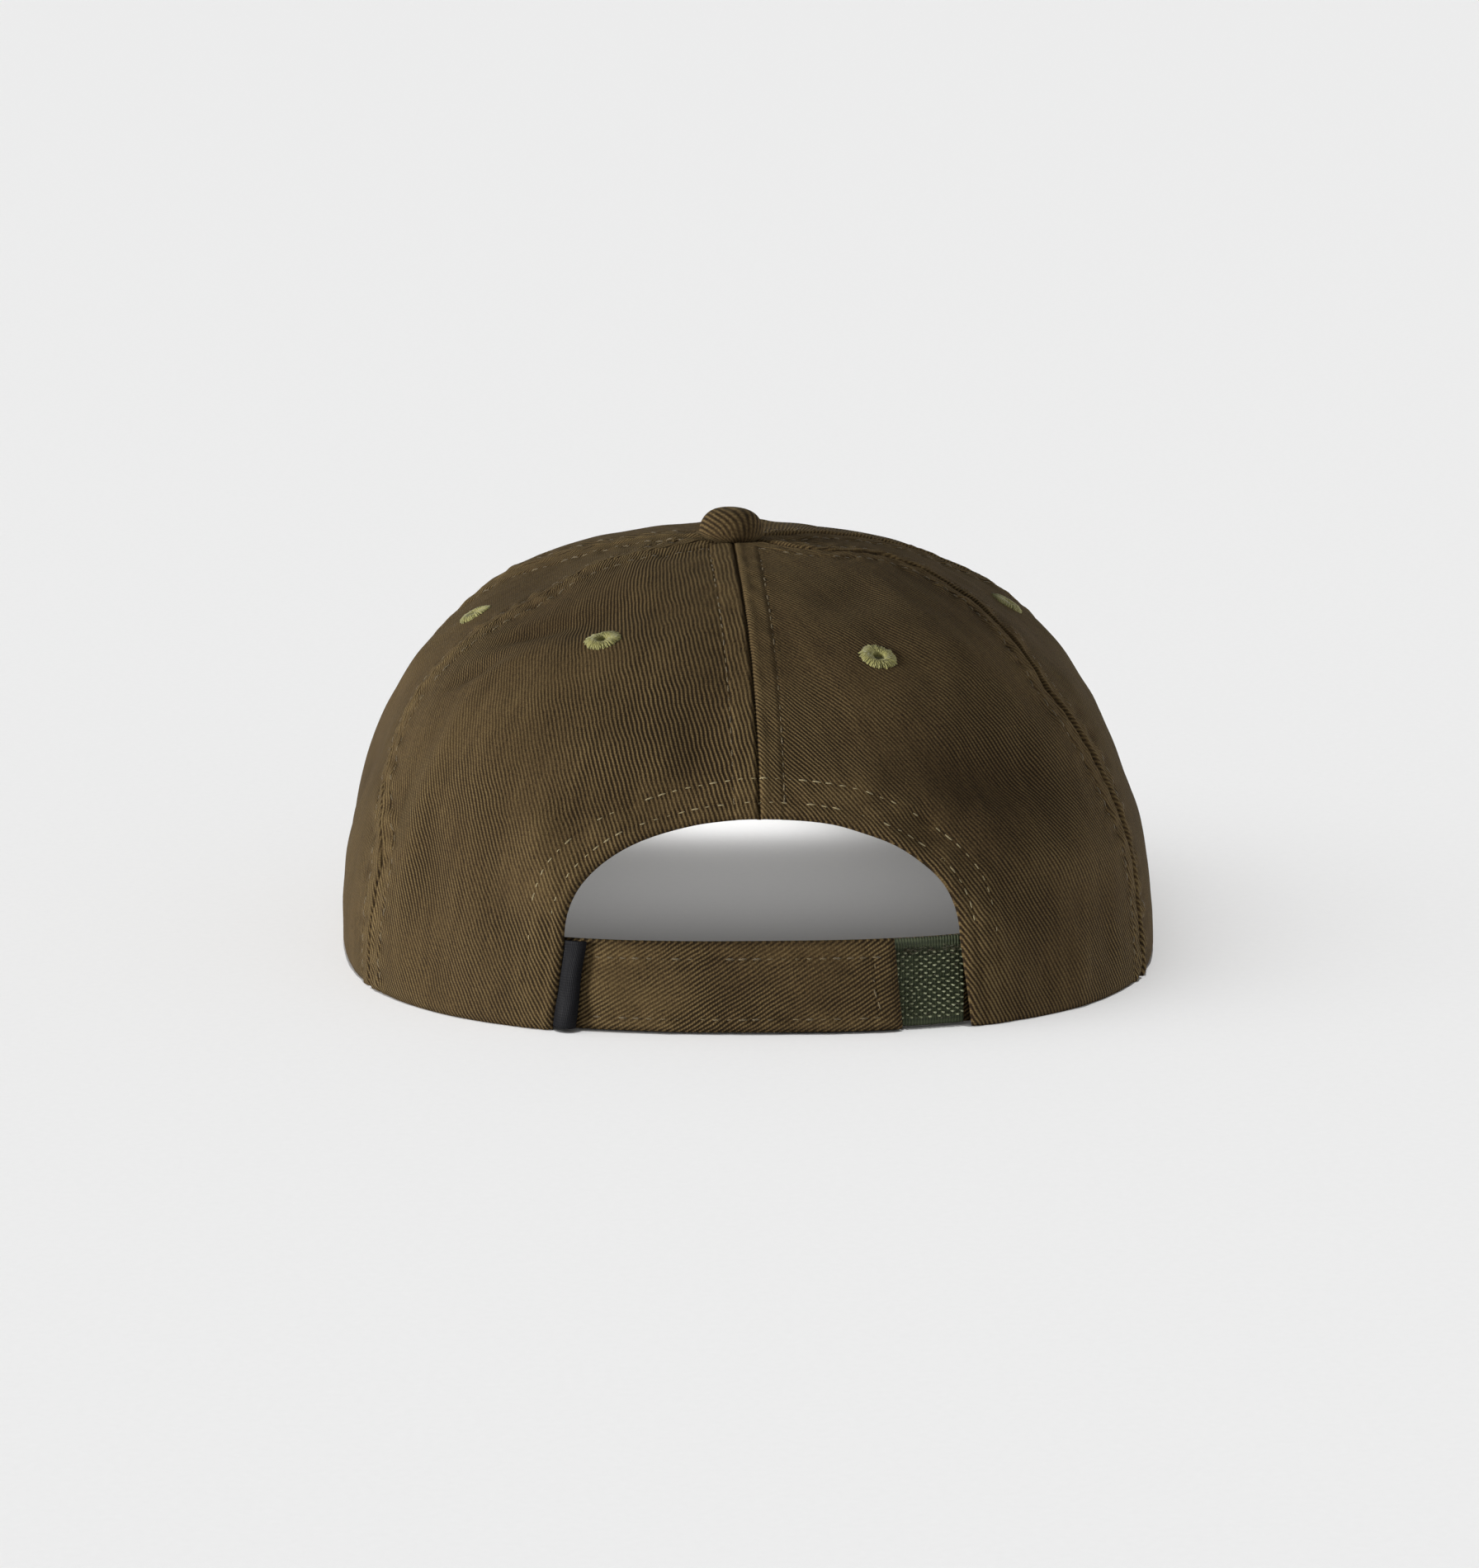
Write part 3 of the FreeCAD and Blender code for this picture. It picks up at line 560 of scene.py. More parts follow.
class Shade:
    """A material and short calls for its nodes."""

    def __init__(self, name, roughness, specular=0.3, sheen=0.0, sheen_tint=(1, 1, 1, 1)):
        self.material = bpy.data.materials.new(name)
        self.material.use_nodes = True
        self.tree = self.material.node_tree
        self.shader = self.tree.nodes["Principled BSDF"]
        self.set("Roughness", roughness)
        self.set("Specular IOR Level", specular)
        self.set("Sheen Weight", sheen)
        self.set("Sheen Roughness", 0.45)
        self.set("Sheen Tint", sheen_tint)

    def set(self, socket, value):
        fill(self.tree, self.shader.inputs[socket], value)

    def add(self, kind, inputs=(), **settings):
        made = self.tree.nodes.new(kind)
        for key, value in settings.items():
            setattr(made, key, value)
        for key, value in dict(inputs).items():
            fill(self.tree, made.inputs[key], value)
        return made

    def math(self, operation, first, second=0.0):
        return self.add("ShaderNodeMath", {0: first, 1: second}, operation=operation).outputs[0]

    def vector(self, operation, first, second, output=0):
        made = self.add("ShaderNodeVectorMath", {0: first, 1: second}, operation=operation)
        return made.outputs[output]

    def times(self, first, second):
        return self.math("MULTIPLY", first, second)

    def plus(self, first, second):
        return self.math("ADD", first, second)

    def between(self, value, low, high, start=0.0, end=1.0):
        """value taken from low..high to start..end, and held at the ends."""
        inputs = {"Value": value, "From Min": low, "From Max": high, "To Min": start, "To Max": end}
        return self.add("ShaderNodeMapRange", inputs).outputs[0]

    def cloth(self):
        """Cloth coordinates, in millimetres."""
        place = self.add("ShaderNodeUVMap", uv_map="cloth").outputs[0]
        return self.vector("MULTIPLY", place, TO_MILLIMETRES)

    def body(self):
        """Place on the object, in millimetres."""
        place = self.add("ShaderNodeTexCoord").outputs["Object"]
        return self.vector("MULTIPLY", place, TO_MILLIMETRES)

    def noise(self, place, scale, detail=2.0, roughness=0.5, stretch=(1, 1, 1)):
        inputs = {"Vector": self.vector("MULTIPLY", place, stretch), "Scale": scale, "Detail": detail,
                  "Roughness": roughness}
        return self.add("ShaderNodeTexNoise", inputs).outputs["Fac"]

    def blend(self, share, low, high):
        return self.add("ShaderNodeMix", {0: share, 6: low, 7: high}, data_type="RGBA").outputs[2]

    def bump(self, height, distance, under=None):
        inputs = {"Height": height, "Distance": distance * MM, "Strength": 1.0}
        if under is not None:
            inputs["Normal"] = under
        return self.add("ShaderNodeBump", inputs).outputs[0]

    def waves(self, value, pitch):
        """Smooth ridges from 0 to 1 at a pitch."""
        turned = self.math("COSINE", self.times(value, 2 * math.pi / pitch))
        return self.plus(self.times(turned, 0.5), 0.5)

    def along(self, place, angle):
        """Distance along a direction of the cloth, in degrees from its u axis."""
        direction = (math.cos(math.radians(angle)), math.sin(math.radians(angle)), 0)
        return self.vector("DOT_PRODUCT", place, direction, "Value")

    def wobbled(self, place, scale, amount):
        """Place moved about by noise, so that threads don't run dead straight."""
        made = self.add("ShaderNodeTexNoise", {"Vector": place, "Scale": scale, "Detail": 1.0})
        centred = self.vector("SUBTRACT", made.outputs["Color"], (0.5, 0.5, 0.5))
        return self.vector("ADD", place, self.vector("MULTIPLY", centred, (amount,) * 3))

    def colour(self, share, dark, light):
        """Base colour from dark to light."""
        self.set("Base Color", self.blend(share, dark, light))

    # Per-point attribute: rubbed places above 0, painted shade in grooves and dents below 0.
    def wear_and_shade(self):
        return self.add("ShaderNodeAttribute", attribute_name="wear_and_shade").outputs["Fac"]


# Middle, dark and light tones of the twill
COTTON = (srgb(80, 64, 40), srgb(37, 27, 14), srgb(122, 104, 69))


def twill_material(name="twill", tones=COTTON):
    """Brushed cotton twill: slanting ribs of warp floats, slubs, rubbed and faded places, and painted shade
    in grooves and dents.
    """
    shade = Shade(name, 0.9, specular=0.12, sheen=0.10, sheen_tint=srgb(170, 150, 105))
    middle, dark, light = tones
    place = shade.wobbled(shade.cloth(), 0.16, 0.8)
    across = shade.along(place, RIB_ANGLE)
    up = shade.along(place, RIB_ANGLE + 90)
    ribs = shade.waves(across, RIB_PITCH)
    floats = shade.waves(shade.plus(up, shade.times(across, 0.5)), 0.62)
    fibre = shade.noise(place, 2.6, 3.0, 0.7, (1.0, 0.5, 1.0))
    brushing = shade.noise(shade.body(), 0.03, 3.0, 0.6)
    clear = shade.between(brushing, 0.38, 0.60, 0.42, 1.0)
    rib_height = shade.times(shade.times(ribs, shade.between(floats, 0, 1, 0.7, 1.0)), clear)
    slub = shade.noise(place, 0.5, 3.0, 0.6, (1.0, 0.12, 1.0))
    patch = shade.noise(shade.body(), 0.045, 4.0, 0.6)
    tone = shade.plus(shade.times(rib_height, 1.05), shade.times(clear, -0.47))
    tone = shade.plus(tone, shade.times(shade.between(fibre, 0.25, 0.75), 0.44))
    tone = shade.plus(tone, shade.times(shade.between(slub, 0.25, 0.75), 0.16))
    tone = shade.plus(tone, shade.times(shade.between(patch, 0.25, 0.75), 0.16))
    # Lighter where the cloth is rubbed; painted shade darkens grooves and dents.
    tone = shade.plus(tone, shade.times(shade.wear_and_shade(), 0.30))
    low = shade.blend(shade.between(tone, 0.02, 0.46), dark, middle)
    colour = shade.blend(shade.between(tone, 0.46, 1.10), low, light)
    shade.set("Base Color", colour)
    shade.set("Roughness", shade.between(fibre, 0.3, 0.7, 0.84, 0.96))
    coarse = shade.bump(shade.plus(shade.times(slub, 0.7), patch), 0.12)
    fine = shade.plus(rib_height, shade.times(fibre, 1.1))
    shade.set("Normal", shade.bump(fine, 0.25, coarse))
    return shade.material


def thread_material(name, light, dark, gloss=0.55):
    """Two-ply sewing thread."""
    shade = Shade(name, gloss, specular=0.35, sheen=0.2)
    place = shade.cloth()
    plies = shade.waves(shade.along(place, 50), 0.34)
    patch = shade.noise(shade.body(), 0.45, 2.0)
    tone = shade.plus(shade.times(plies, 0.5), shade.times(patch, 0.7))
    shade.colour(shade.between(tone, 0.2, 0.95), dark, light)
    shade.set("Normal", shade.bump(plies, 0.07))
    return shade.material


def weave_material(name, light, dark, pitch=(0.5, 0.5), depth=0.08, gloss=0.8, sheen=0.1):
    """Plain weave of two sets of threads, each with its own pitch."""
    shade = Shade(name, gloss, specular=0.25, sheen=sheen)
    place = shade.wobbled(shade.cloth(), 0.5, 0.18)
    warp = shade.waves(shade.along(place, 0), pitch[0])
    weft = shade.waves(shade.along(place, 90), pitch[1])
    weave = shade.math("MAXIMUM", warp, weft)
    fibre = shade.noise(place, 3.0, 3.0, 0.6)
    patch = shade.noise(shade.body(), 0.08, 3.0)
    tone = shade.plus(shade.times(fibre, 0.4), shade.times(patch, 0.4))
    tone = shade.plus(shade.times(weave, 0.45), tone)
    shade.colour(shade.between(tone, 0.35, 1.0), dark, light)
    shade.set("Normal", shade.bump(shade.plus(weave, shade.times(fibre, 0.5)), depth))
    return shade.material


def satin_material():
    """Black woven satin ribbon: fine lengthwise floats with a soft gloss, and a few faint pale picks."""
    shade = Shade("label_satin", 0.55, specular=0.12)
    place = shade.wobbled(shade.cloth(), 0.4, 0.1)
    floats = shade.waves(shade.along(place, 0), 0.22)
    picks = shade.waves(shade.along(place, 90), 0.55)
    fibre = shade.noise(place, 1.6, 2.0, 0.6, (1.0, 0.2, 1.0))
    tone = shade.plus(shade.times(floats, 0.4), shade.times(fibre, 0.6))
    shade.colour(shade.between(tone, 0.2, 0.9), srgb(7, 7, 9), srgb(22, 22, 26))
    shade.set("Roughness", shade.between(fibre, 0.3, 0.7, 0.48, 0.64))
    shade.set("Normal", shade.bump(shade.plus(floats, shade.times(picks, 0.5)), 0.04))
    return shade.material


def hook_base_material():
    """Ribbed woven base of the hook tape."""
    shade = Shade("hook_tape_base", 0.7, specular=0.35, sheen=0.1)
    place = shade.wobbled(shade.cloth(), 0.6, 0.12)
    ribs = shade.waves(shade.along(place, 0), 0.62)
    cords = shade.waves(shade.along(place, 90), 1.25)
    fibre = shade.noise(place, 2.6, 3.0, 0.6)
    tone = shade.plus(shade.times(cords, 0.25), shade.times(fibre, 0.5))
    tone = shade.plus(shade.times(ribs, 0.4), tone)
    shade.colour(shade.between(tone, 0.25, 0.95), srgb(44, 50, 33), srgb(80, 88, 60))
    height = shade.plus(shade.plus(ribs, shade.times(cords, 0.8)), shade.times(fibre, 0.5))
    shade.set("Normal", shade.bump(height, 0.11))
    return shade.material


def monofilament_material(name, light, dark):
    """Smooth nylon filament of the hooks and loops."""
    shade = Shade(name, 0.38, specular=0.5)
    patch = shade.noise(shade.body(), 1.1, 2.0)
    shade.colour(shade.between(patch, 0.35, 0.65), dark, light)
    shade.set("Normal", shade.bump(patch, 0.02))
    return shade.material


def board_material():
    """Moulded plastic board of the visor, with a fine grain."""
    shade = Shade("visor_board_plastic", 0.5, specular=0.45)
    grain = shade.noise(shade.body(), 2.0, 3.0, 0.6)
    patch = shade.noise(shade.body(), 0.05, 2.0)
    shade.colour(patch, srgb(26, 27, 26), srgb(44, 44, 42))
    shade.set("Roughness", shade.between(grain, 0.3, 0.7, 0.42, 0.6))
    shade.set("Normal", shade.bump(grain, 0.03))
    return shade.material


def foam_material():
    """Open-cell foam."""
    shade = Shade("foam", 0.9, specular=0.2)
    cells = shade.add("ShaderNodeTexVoronoi", {"Vector": shade.body(), "Scale": 1.3}).outputs["Distance"]
    shade.colour(shade.between(cells, 0.1, 0.6), srgb(150, 143, 122), srgb(206, 199, 176))
    shade.set("Normal", shade.bump(cells, 0.15))
    return shade.material


def metal_material():
    """Plated steel with fine turning marks."""
    shade = Shade("button_metal", 0.34)
    shade.set("Metallic", 1.0)
    place = shade.body()
    scratch = shade.noise(place, 0.9, 4.0, 0.7, (1.0, 6.0, 1.0))
    shade.colour(scratch, srgb(142, 138, 128), srgb(186, 182, 172))
    shade.set("Roughness", shade.between(scratch, 0.3, 0.7, 0.26, 0.44))
    shade.set("Normal", shade.bump(scratch, 0.015))
    return shade.material


def floor_material():
    """Matt pale paper."""
    shade = Shade("floor_paper", 0.9, specular=0.05)
    grain = shade.noise(shade.body(), 0.6, 3.0)
    shade.colour(grain, srgb(238, 238, 238), srgb(242, 242, 242))
    return shade.material


# ---------------------------------------------------------------- crown

def cloth_point(angle, rise, depth):
    """Point and normal of a cloth layer that follows the crown's folds."""
    normal = crown_normal(angle, rise)
    lift = fold_relief(angle, rise) - depth
    return crown_point(angle, rise) + normal * lift[..., None], normal


def skin_relief(angle, rise):
    """Relief of the outer cloth from its seams and hems."""
    point = crown_point(angle, rise)
    value = seam_relief(angle, rise)
    hem = hem_relief(point[..., 0], point[..., 2])
    value = value + np.where(point[..., 1] > 0, hem, 0.0)
    height = np.radians(rise) * HALF_LENGTH
    return value - 0.45 * bell(height, 0.9)


def skin_point(angle, rise, lift=0.0):
    """Point and normal of the crown's outer face, with seams and hems."""
    return cloth_point(angle, rise, -skin_relief(angle, rise) - lift)


def wall_uvs(angle, rise, centre):
    """Millimetres of cloth around the wall from a centre line, and up it."""
    radius, _ = wall_shape(angle, rise)
    return np.stack([np.radians(angle - centre) * radius, np.radians(rise) * HALF_LENGTH], -1)


def dense_ends(count, strength):
    """Shares from 0 to 1, closer together at both ends."""
    share = np.linspace(0, 1, count)
    return share - strength * np.sin(2 * math.pi * share) / (2 * math.pi)


def scale_at(angle, rise):
    """Millimetres per degree around the wall and up it."""
    around, upward = surface_steps(angle, rise)
    return np.linalg.norm(around) / (2 * SURFACE_STEP), np.linalg.norm(upward) / (2 * SURFACE_STEP)


def eyelet_offsets(name, angle, rise):
    """Distances across and up from an eyelet's centre."""
    centre, height = (np.asarray(value) for value in EYELETS[name])
    around, upward = scale_at(centre, height)
    return turn_from(angle, centre) * around, (rise - height) * upward


def snap_to_hole(name, angle, rise, radius):
    """Angle and rise of the nearest point on the circle around an eyelet's centre."""
    across, up = eyelet_offsets(name, angle, rise)
    around, upward = scale_at(*(np.asarray(value) for value in EYELETS[name]))
    grow = radius / np.maximum(np.hypot(across, up), 1e-6) - 1
    return angle + across * grow / around, rise + up * grow / upward


def snap_to_arch(angle, rise):
    """Angle and rise of the nearest point on the rear opening's edge."""
    point = crown_point(angle, rise)
    x, height = point[..., 0], point[..., 2]
    step = 0.01
    for _ in range(3):
        away = arch_distance(x, height)
        slope_x = (arch_distance(x + step, height) - arch_distance(x - step, height)) / (2 * step)
        slope_z = (arch_distance(x, height + step) - arch_distance(x, height - step)) / (2 * step)
        size = slope_x ** 2 + slope_z ** 2
        x, height = x - away * slope_x / size, np.maximum(height - away * slope_z / size, 0.0)
    return rear_place(x, height)


def panel_grid(start, end, columns, rows, strength):
    """Angles and rises over a panel, from the rim to the apex hole."""
    middle = (start + end) / 2
    rise = np.linspace(0, 1, rows)[None, :] * rise_at_radius(middle, APEX_HOLE_RADIUS)
    radius, _ = wall_shape(middle, rise)
    turn = np.degrees(np.arcsin(np.minimum(0.04 / radius, 0.5)))
    share = dense_ends(columns, strength)[:, None]
    angle = (seam_line(start, rise) + turn) * (1 - share) + (seam_line(end, rise) - turn) * share
    return angle, rise + 0 * angle


def panel_piece(name, start, end, eyelet, columns, rows, strength, material, open_arch=False):
    """A crown panel with its eyelet hole and, at the rear, its side of the opening."""
    angle, rise = panel_grid(start, end, columns, rows, strength)
    across, up = eyelet_offsets(eyelet, angle, rise)
    from_hole = np.hypot(across, up) - EYELET_HOLE
    point = crown_point(angle, rise)
    from_arch = arch_distance(point[..., 0], point[..., 2]) if open_arch else from_hole + 99.0
    away = np.minimum(from_hole, from_arch).ravel()
    faces = grid_faces(columns, rows)
    faces = faces[(away[faces] > -0.3).all(1)]
    border = np.unique(free_edges(faces, away.size))
    column, row = border // rows, border % rows
    free = (column > 0) & (column < columns - 1) & (row > 0) & (row < rows - 1)
    near_hole = border[free & (from_hole.ravel()[border] < 2.0)]
    near_arch = border[(free | (row == 0)) & (from_arch.ravel()[border] < 1.2)]
    angle, rise = angle.ravel(), rise.ravel()
    snapped = snap_to_hole(eyelet, angle[near_hole], rise[near_hole], EYELET_HOLE)
    angle[near_hole], rise[near_hole] = snapped
    if open_arch:
        angle[near_arch], rise[near_arch] = snap_to_arch(angle[near_arch], rise[near_arch])
    outer, _ = skin_point(angle, rise)
    inner, _ = cloth_point(angle, rise, PANEL_THICKNESS)
    uvs = wall_uvs(angle, rise, (start + end) / 2)
    # Lighter on rubbed ridges beside the seams. Painted shade darkens the seam and hem grooves, the rim's
    # bottom edge and the dents, and the swellings are painted lighter.
    wear_and_shade = np.clip(skin_relief(angle, rise) * 1.1, -1.1, 0.8)
    wear_and_shade = wear_and_shade + 0.17 * np.clip(fold_relief(angle, rise), -2.4, 1.0)
    return sheet_piece(name, outer, inner, uvs, material, 0.3, faces, wear_and_shade)


def make_panels(twill):
    """The six panels; the rear two have finer meshes and the opening's edge."""
    seams = {"rear_left": (REAR_LEFT_SEAM, REAR_SEAM), "rear_right": (REAR_SEAM, REAR_RIGHT_SEAM),
             "side_left": (FRONT_LEFT_SEAM, REAR_LEFT_SEAM),
             "side_right": (REAR_RIGHT_SEAM, FRONT_RIGHT_SEAM + 360.0),
             "front_left": (FRONT_SEAM, FRONT_LEFT_SEAM), "front_right": (FRONT_RIGHT_SEAM, FRONT_SEAM)}
    for place, (start, end) in seams.items():
        end_name, side = place.split("_")
        node = f"{end_name}_panel_{side}"
        rear = end_name == "rear"
        size = (190, 210, 0.5) if rear else (120, 150, 0.7)
        piece = panel_piece("cloth_" + node, start, end, place, *size, twill, rear)
        finish_piece(piece, "crown", "twill", node)


def seam_angle(seam, rise, offset):
    """Angle of a line beside a seam."""
    radius, _ = wall_shape(seam, rise)
    return seam_line(seam, rise) + np.degrees(np.arcsin(np.clip(offset / radius, -0.95, 0.95)))


def make_seam_stitches(thread):
    """Two rows of topstitching beside each seam, outside, and the same rows on the tape inside."""
    runs = []
    inside = []
    for number, seam in enumerate(SEAMS):
        low = rise_at_height(seam, ARCH_BASE_HEIGHT + ARCH_RISE + 1.5) if seam == REAR_SEAM else 1.2
        high = rise_at_radius(seam, BUTTON_RADIUS + 2.4)
        rise = np.linspace(low, high, 500)
        for side in (-1, 1):
            angle = seam_angle(seam, rise, side * SEAM_STITCH)
            points, normals = skin_point(angle, rise)
            runs.append(stitch_places(points, normals, 100 + 2 * number + side))
            points, normals = cloth_point(angle, rise, TAPE_DEPTHS[1] + 0.02)
            inside.append(stitch_places(points, -normals, 200 + 2 * number + side))
    finish_piece(stitches_piece("seam_stitches", runs, thread), "crown", "eyelet_thread")
    finish_piece(stitches_piece("tape_stitches", inside, thread), "crown", "eyelet_thread")


def make_arch_stitches(thread, tape_thread):
    """Two rows around the rear opening."""
    runs = []
    inside = []
    turn = np.linspace(-0.995, 0.995, 1500)
    for number, row in enumerate(ARCH_STITCHES):
        x, height = arch_point(turn, row)
        angle, rise = rear_place(x, height)
        points, normals = skin_point(angle, rise)
        centres, upward = stitch_places(points, normals, 300 + number)
        sunk = 0.22 * (1 - smooth(centres[..., 2:], 12.0, 32.0))
        runs.append((centres - upward * sunk, upward))
        points, normals = cloth_point(angle, rise, FACING_DEPTHS[1] + 0.02)
        inside.append(stitch_places(points, -normals, 310 + number))
    finish_piece(stitches_piece("opening_stitches", runs, thread, 0.17), "crown", "eyelet_thread")
    finish_piece(stitches_piece("facing_stitches", inside, tape_thread), "crown", "eyelet_thread")


def make_eyelets(thread):
    """Rings of thread wrapped through a hole, with a ragged outer edge."""
    wraps = 58
    for number, (name, (centre, height)) in enumerate(EYELETS.items()):
        rng = np.random.default_rng(400 + number)
        around, upward = scale_at(np.asarray(centre), np.asarray(height))
        turn = (np.arange(wraps) + rng.uniform(-0.3, 0.3, wraps)) * 2 * math.pi / wraps
        reach = EYELET_RADIUS - 0.2 + rng.uniform(-0.28, 0.3, wraps)
        backed = 0.7 if name.startswith("front") else 0.0
        radii = np.array([1.0, 0.93, 0.72, 0.5, 0.37, 0.33, 0.37, 0.55, 0.8, 0.93])
        lifts = np.array([-0.25, 0.16, 0.46, 0.5, 0.25, -0.6, -1.25, -1.5, -1.3, -0.7])
        lifts[6:] -= backed
        radius = reach[:, None] * radii
        sway = turn[:, None] + np.linspace(-0.5, 0.5, 10) * rng.uniform(-0.10, 0.10, (wraps, 1))
        across = radius * np.cos(sway)
        up = radius * np.sin(sway)
        points, normals = cloth_point(centre + across / around, height + up / upward, 0.0)
        lift = lifts + rng.uniform(-0.04, 0.07, (wraps, 1))
        centres = points + normals * lift[..., None]
        sideways = np.stack([-np.sin(turn), np.cos(turn)], -1)[:, None]
        middle = crown_point(np.asarray(centre), np.asarray(height))
        east = crown_point(np.asarray(centre + 0.1), np.asarray(height)) - middle
        north = crown_point(np.asarray(centre), np.asarray(height + 0.1)) - middle
        side = sideways[..., :1] * unit(east) + sideways[..., 1:] * unit(north)
        along = unit(np.gradient(centres, axis=1))
        across_wrap = np.cross(along, side + 0 * along)
        piece = tubes_piece("eyelet_thread_" + name, centres, across_wrap, EYELET_THREAD, 6, thread)
        finish_piece(piece, "crown", "eyelet_thread", "eyelet_" + name)


def make_button(twill):
    """Cloth gathered over the button, leaning a little."""
    columns, rows = 120, 44
    turn = np.linspace(0, 2 * math.pi, columns, endpoint=False)[:, None]
    share = np.linspace(0, 1, rows)[None, :]
    sweep = np.radians(share * (90.0 + BUTTON_TUCK))
    reach = np.abs(np.sin(sweep)) ** 0.7
    above = np.maximum(np.cos(sweep), 0.0) ** 0.95
    below = np.minimum(np.cos(sweep), 0.0) / math.sin(math.radians(BUTTON_TUCK))
    pleats = np.sin(turn * 9 + 0.8 * np.sin(turn * 2) + 0.5) + 0.6 * np.sin(turn * 16 + 1.3)
    swell = 1 + 0.022 * pleats * share ** 3 + 0.02 * np.sin(2 * turn + 1.0) * share
    layers = []
    for shrink in (0.0, 0.5):
        radius = (BUTTON_RADIUS + 0.1 - shrink) * reach * swell
        level = BUTTON_RING + (BUTTON_HEIGHT - BUTTON_RING - shrink) * above + BUTTON_RING * below
        level = level + 0.09 * pleats * share ** 4
        layers.append(np.stack([radius * np.cos(turn), radius * np.sin(turn), level + 0 * turn], -1))
    tilt = math.radians(3.0)
    outer, inner = (np.stack([layer[..., 0] * math.cos(tilt) - layer[..., 2] * math.sin(tilt),
                              layer[..., 1],
                              layer[..., 0] * math.sin(tilt) + layer[..., 2] * math.cos(tilt)], -1)
                    + (CROWN_LEAN + 0.3, 0, CROWN_HEIGHT - 0.1) for layer in layers)
    uvs = np.stack([share * 9 * np.cos(turn), share * 9 * np.sin(turn)], -1) + (3.0, 500.0)
    # Painted light and shade on the gathers: pleat tops painted lighter, the folds between them darker.
    wear_and_shade = 0.25 * pleats * share ** 3 + 0 * share
    faces = grid_faces(columns, rows, wrap=True)[:, ::-1]
    piece = sheet_piece("button_cloth", outer, inner, uvs, twill, 0.1, faces, wear_and_shade)
    finish_piece(piece, "crown", "twill", "button_cover")


# ---------------------------------------------------------------- lining

def lining_piece(name, angle, rise, depths, material, shape=None, bulge=0.3, uv_centre=0.0):
    """Layer inside the crown, over a grid of angles and rises; shape lifts its inner face."""
    outer, _ = cloth_point(angle, rise, depths[0])
    inner, _ = cloth_point(angle, rise, depths[1] + (0.0 if shape is None else shape))
    return sheet_piece(name, outer, inner, wall_uvs(angle, rise, uv_centre), material, bulge)


def band_grid(start, end, low, high, columns, rows):
    """Angles and rises of a band whose edges are at two heights, given per angle."""
    angle = np.linspace(start, end, columns)[:, None]
    share = np.linspace(0, 1, rows)[None, :]
    bottom = rise_at_height(angle, low(angle))
    top = rise_at_height(angle, high(angle))
    return angle + 0 * share, bottom * (1 - share) + top * share


def make_sweatband(cloth, foam, thread):
    """Folded band around the inside of the rim, its foam, and the row that holds it."""
    def low(angle):
        return rim_height(angle) + 1.0

    def high(angle):
        return rim_height(angle) * 0.6 + 33.0

    angle, rise = band_grid(-239.0, 59.0, low, high, 330, 36)
    share = np.linspace(0, 1, 36)[None, :]
    along = np.radians(angle) * 90.0
    shape = 0.10 * np.sin(along * 2 * math.pi / 9 + 2 * np.sin(along / 21)) * (1 - share) ** 2
    shape = shape - 0.25 * bell((share - 0.07) * 33, 0.8) + 0.35 * bell((share - 1) * 33, 1.6)
    band = lining_piece("sweatband_cloth", angle, rise, SWEATBAND_DEPTHS, cloth, shape, 0.35)
    finish_piece(band, "crown", "sweatband", "sweatband")
    row = 2
    depth = SWEATBAND_DEPTHS[1] + shape[:, row] + 0.02
    points, normals = cloth_point(angle[:, row], rise[:, row], depth)
    stitches = stitches_piece("sweatband_stitches", [stitch_places(points, -normals, 500)], thread)
    finish_piece(stitches, "crown", "eyelet_thread")

    angle, rise = band_grid(-162.0, -18.0, low, lambda a: high(a) - 4.0, 120, 20)
    pad = lining_piece("sweatband_foam", angle, rise, PADDING_DEPTHS, foam, None, 0.25)
    finish_piece(pad, "crown", "foam", "sweatband_padding")


def make_tapes(binding):
    """Folded tape over each seam inside."""
    for seam, node in zip(SEAMS, SEAM_TAPES):
        low = rise_at_height(seam, rim_height(seam) + 1.0)
        if seam == REAR_SEAM:
            low = rise_at_height(seam, ARCH_BASE_HEIGHT + ARCH_RISE + FACING_WIDTH + 0.3)
        rise = np.linspace(0, 1, 150)[None, :] * (rise_at_radius(seam, 3.4) - low) + low
        across = np.linspace(-TAPE_HALF_WIDTH, TAPE_HALF_WIDTH, 27)[:, None]
        radius, _ = wall_shape(seam, rise)
        reach = np.minimum(1.0, radius * math.sin(math.radians(27.0)) / TAPE_HALF_WIDTH)
        angle = seam_angle(seam, rise, across * reach)
        away = np.abs(across * reach)
        shape = -0.5 * (1 - smooth(away, 1.6, 2.6)) - 0.2 * bell(away - 6.0, 0.5)
        shape = shape + 0.18 * bell(away - SEAM_STITCH, 0.5)
        shape = shape + 0.06 * np.sin(rise * 1.6 * 2 * math.pi / 6.4) * bell(away - SEAM_STITCH, 1.5)
        rise = rise + 0 * angle
        piece = lining_piece("tape_" + node, angle, rise, TAPE_DEPTHS, binding, shape, 0.2, seam)
        finish_piece(piece, "crown", "binding", node)


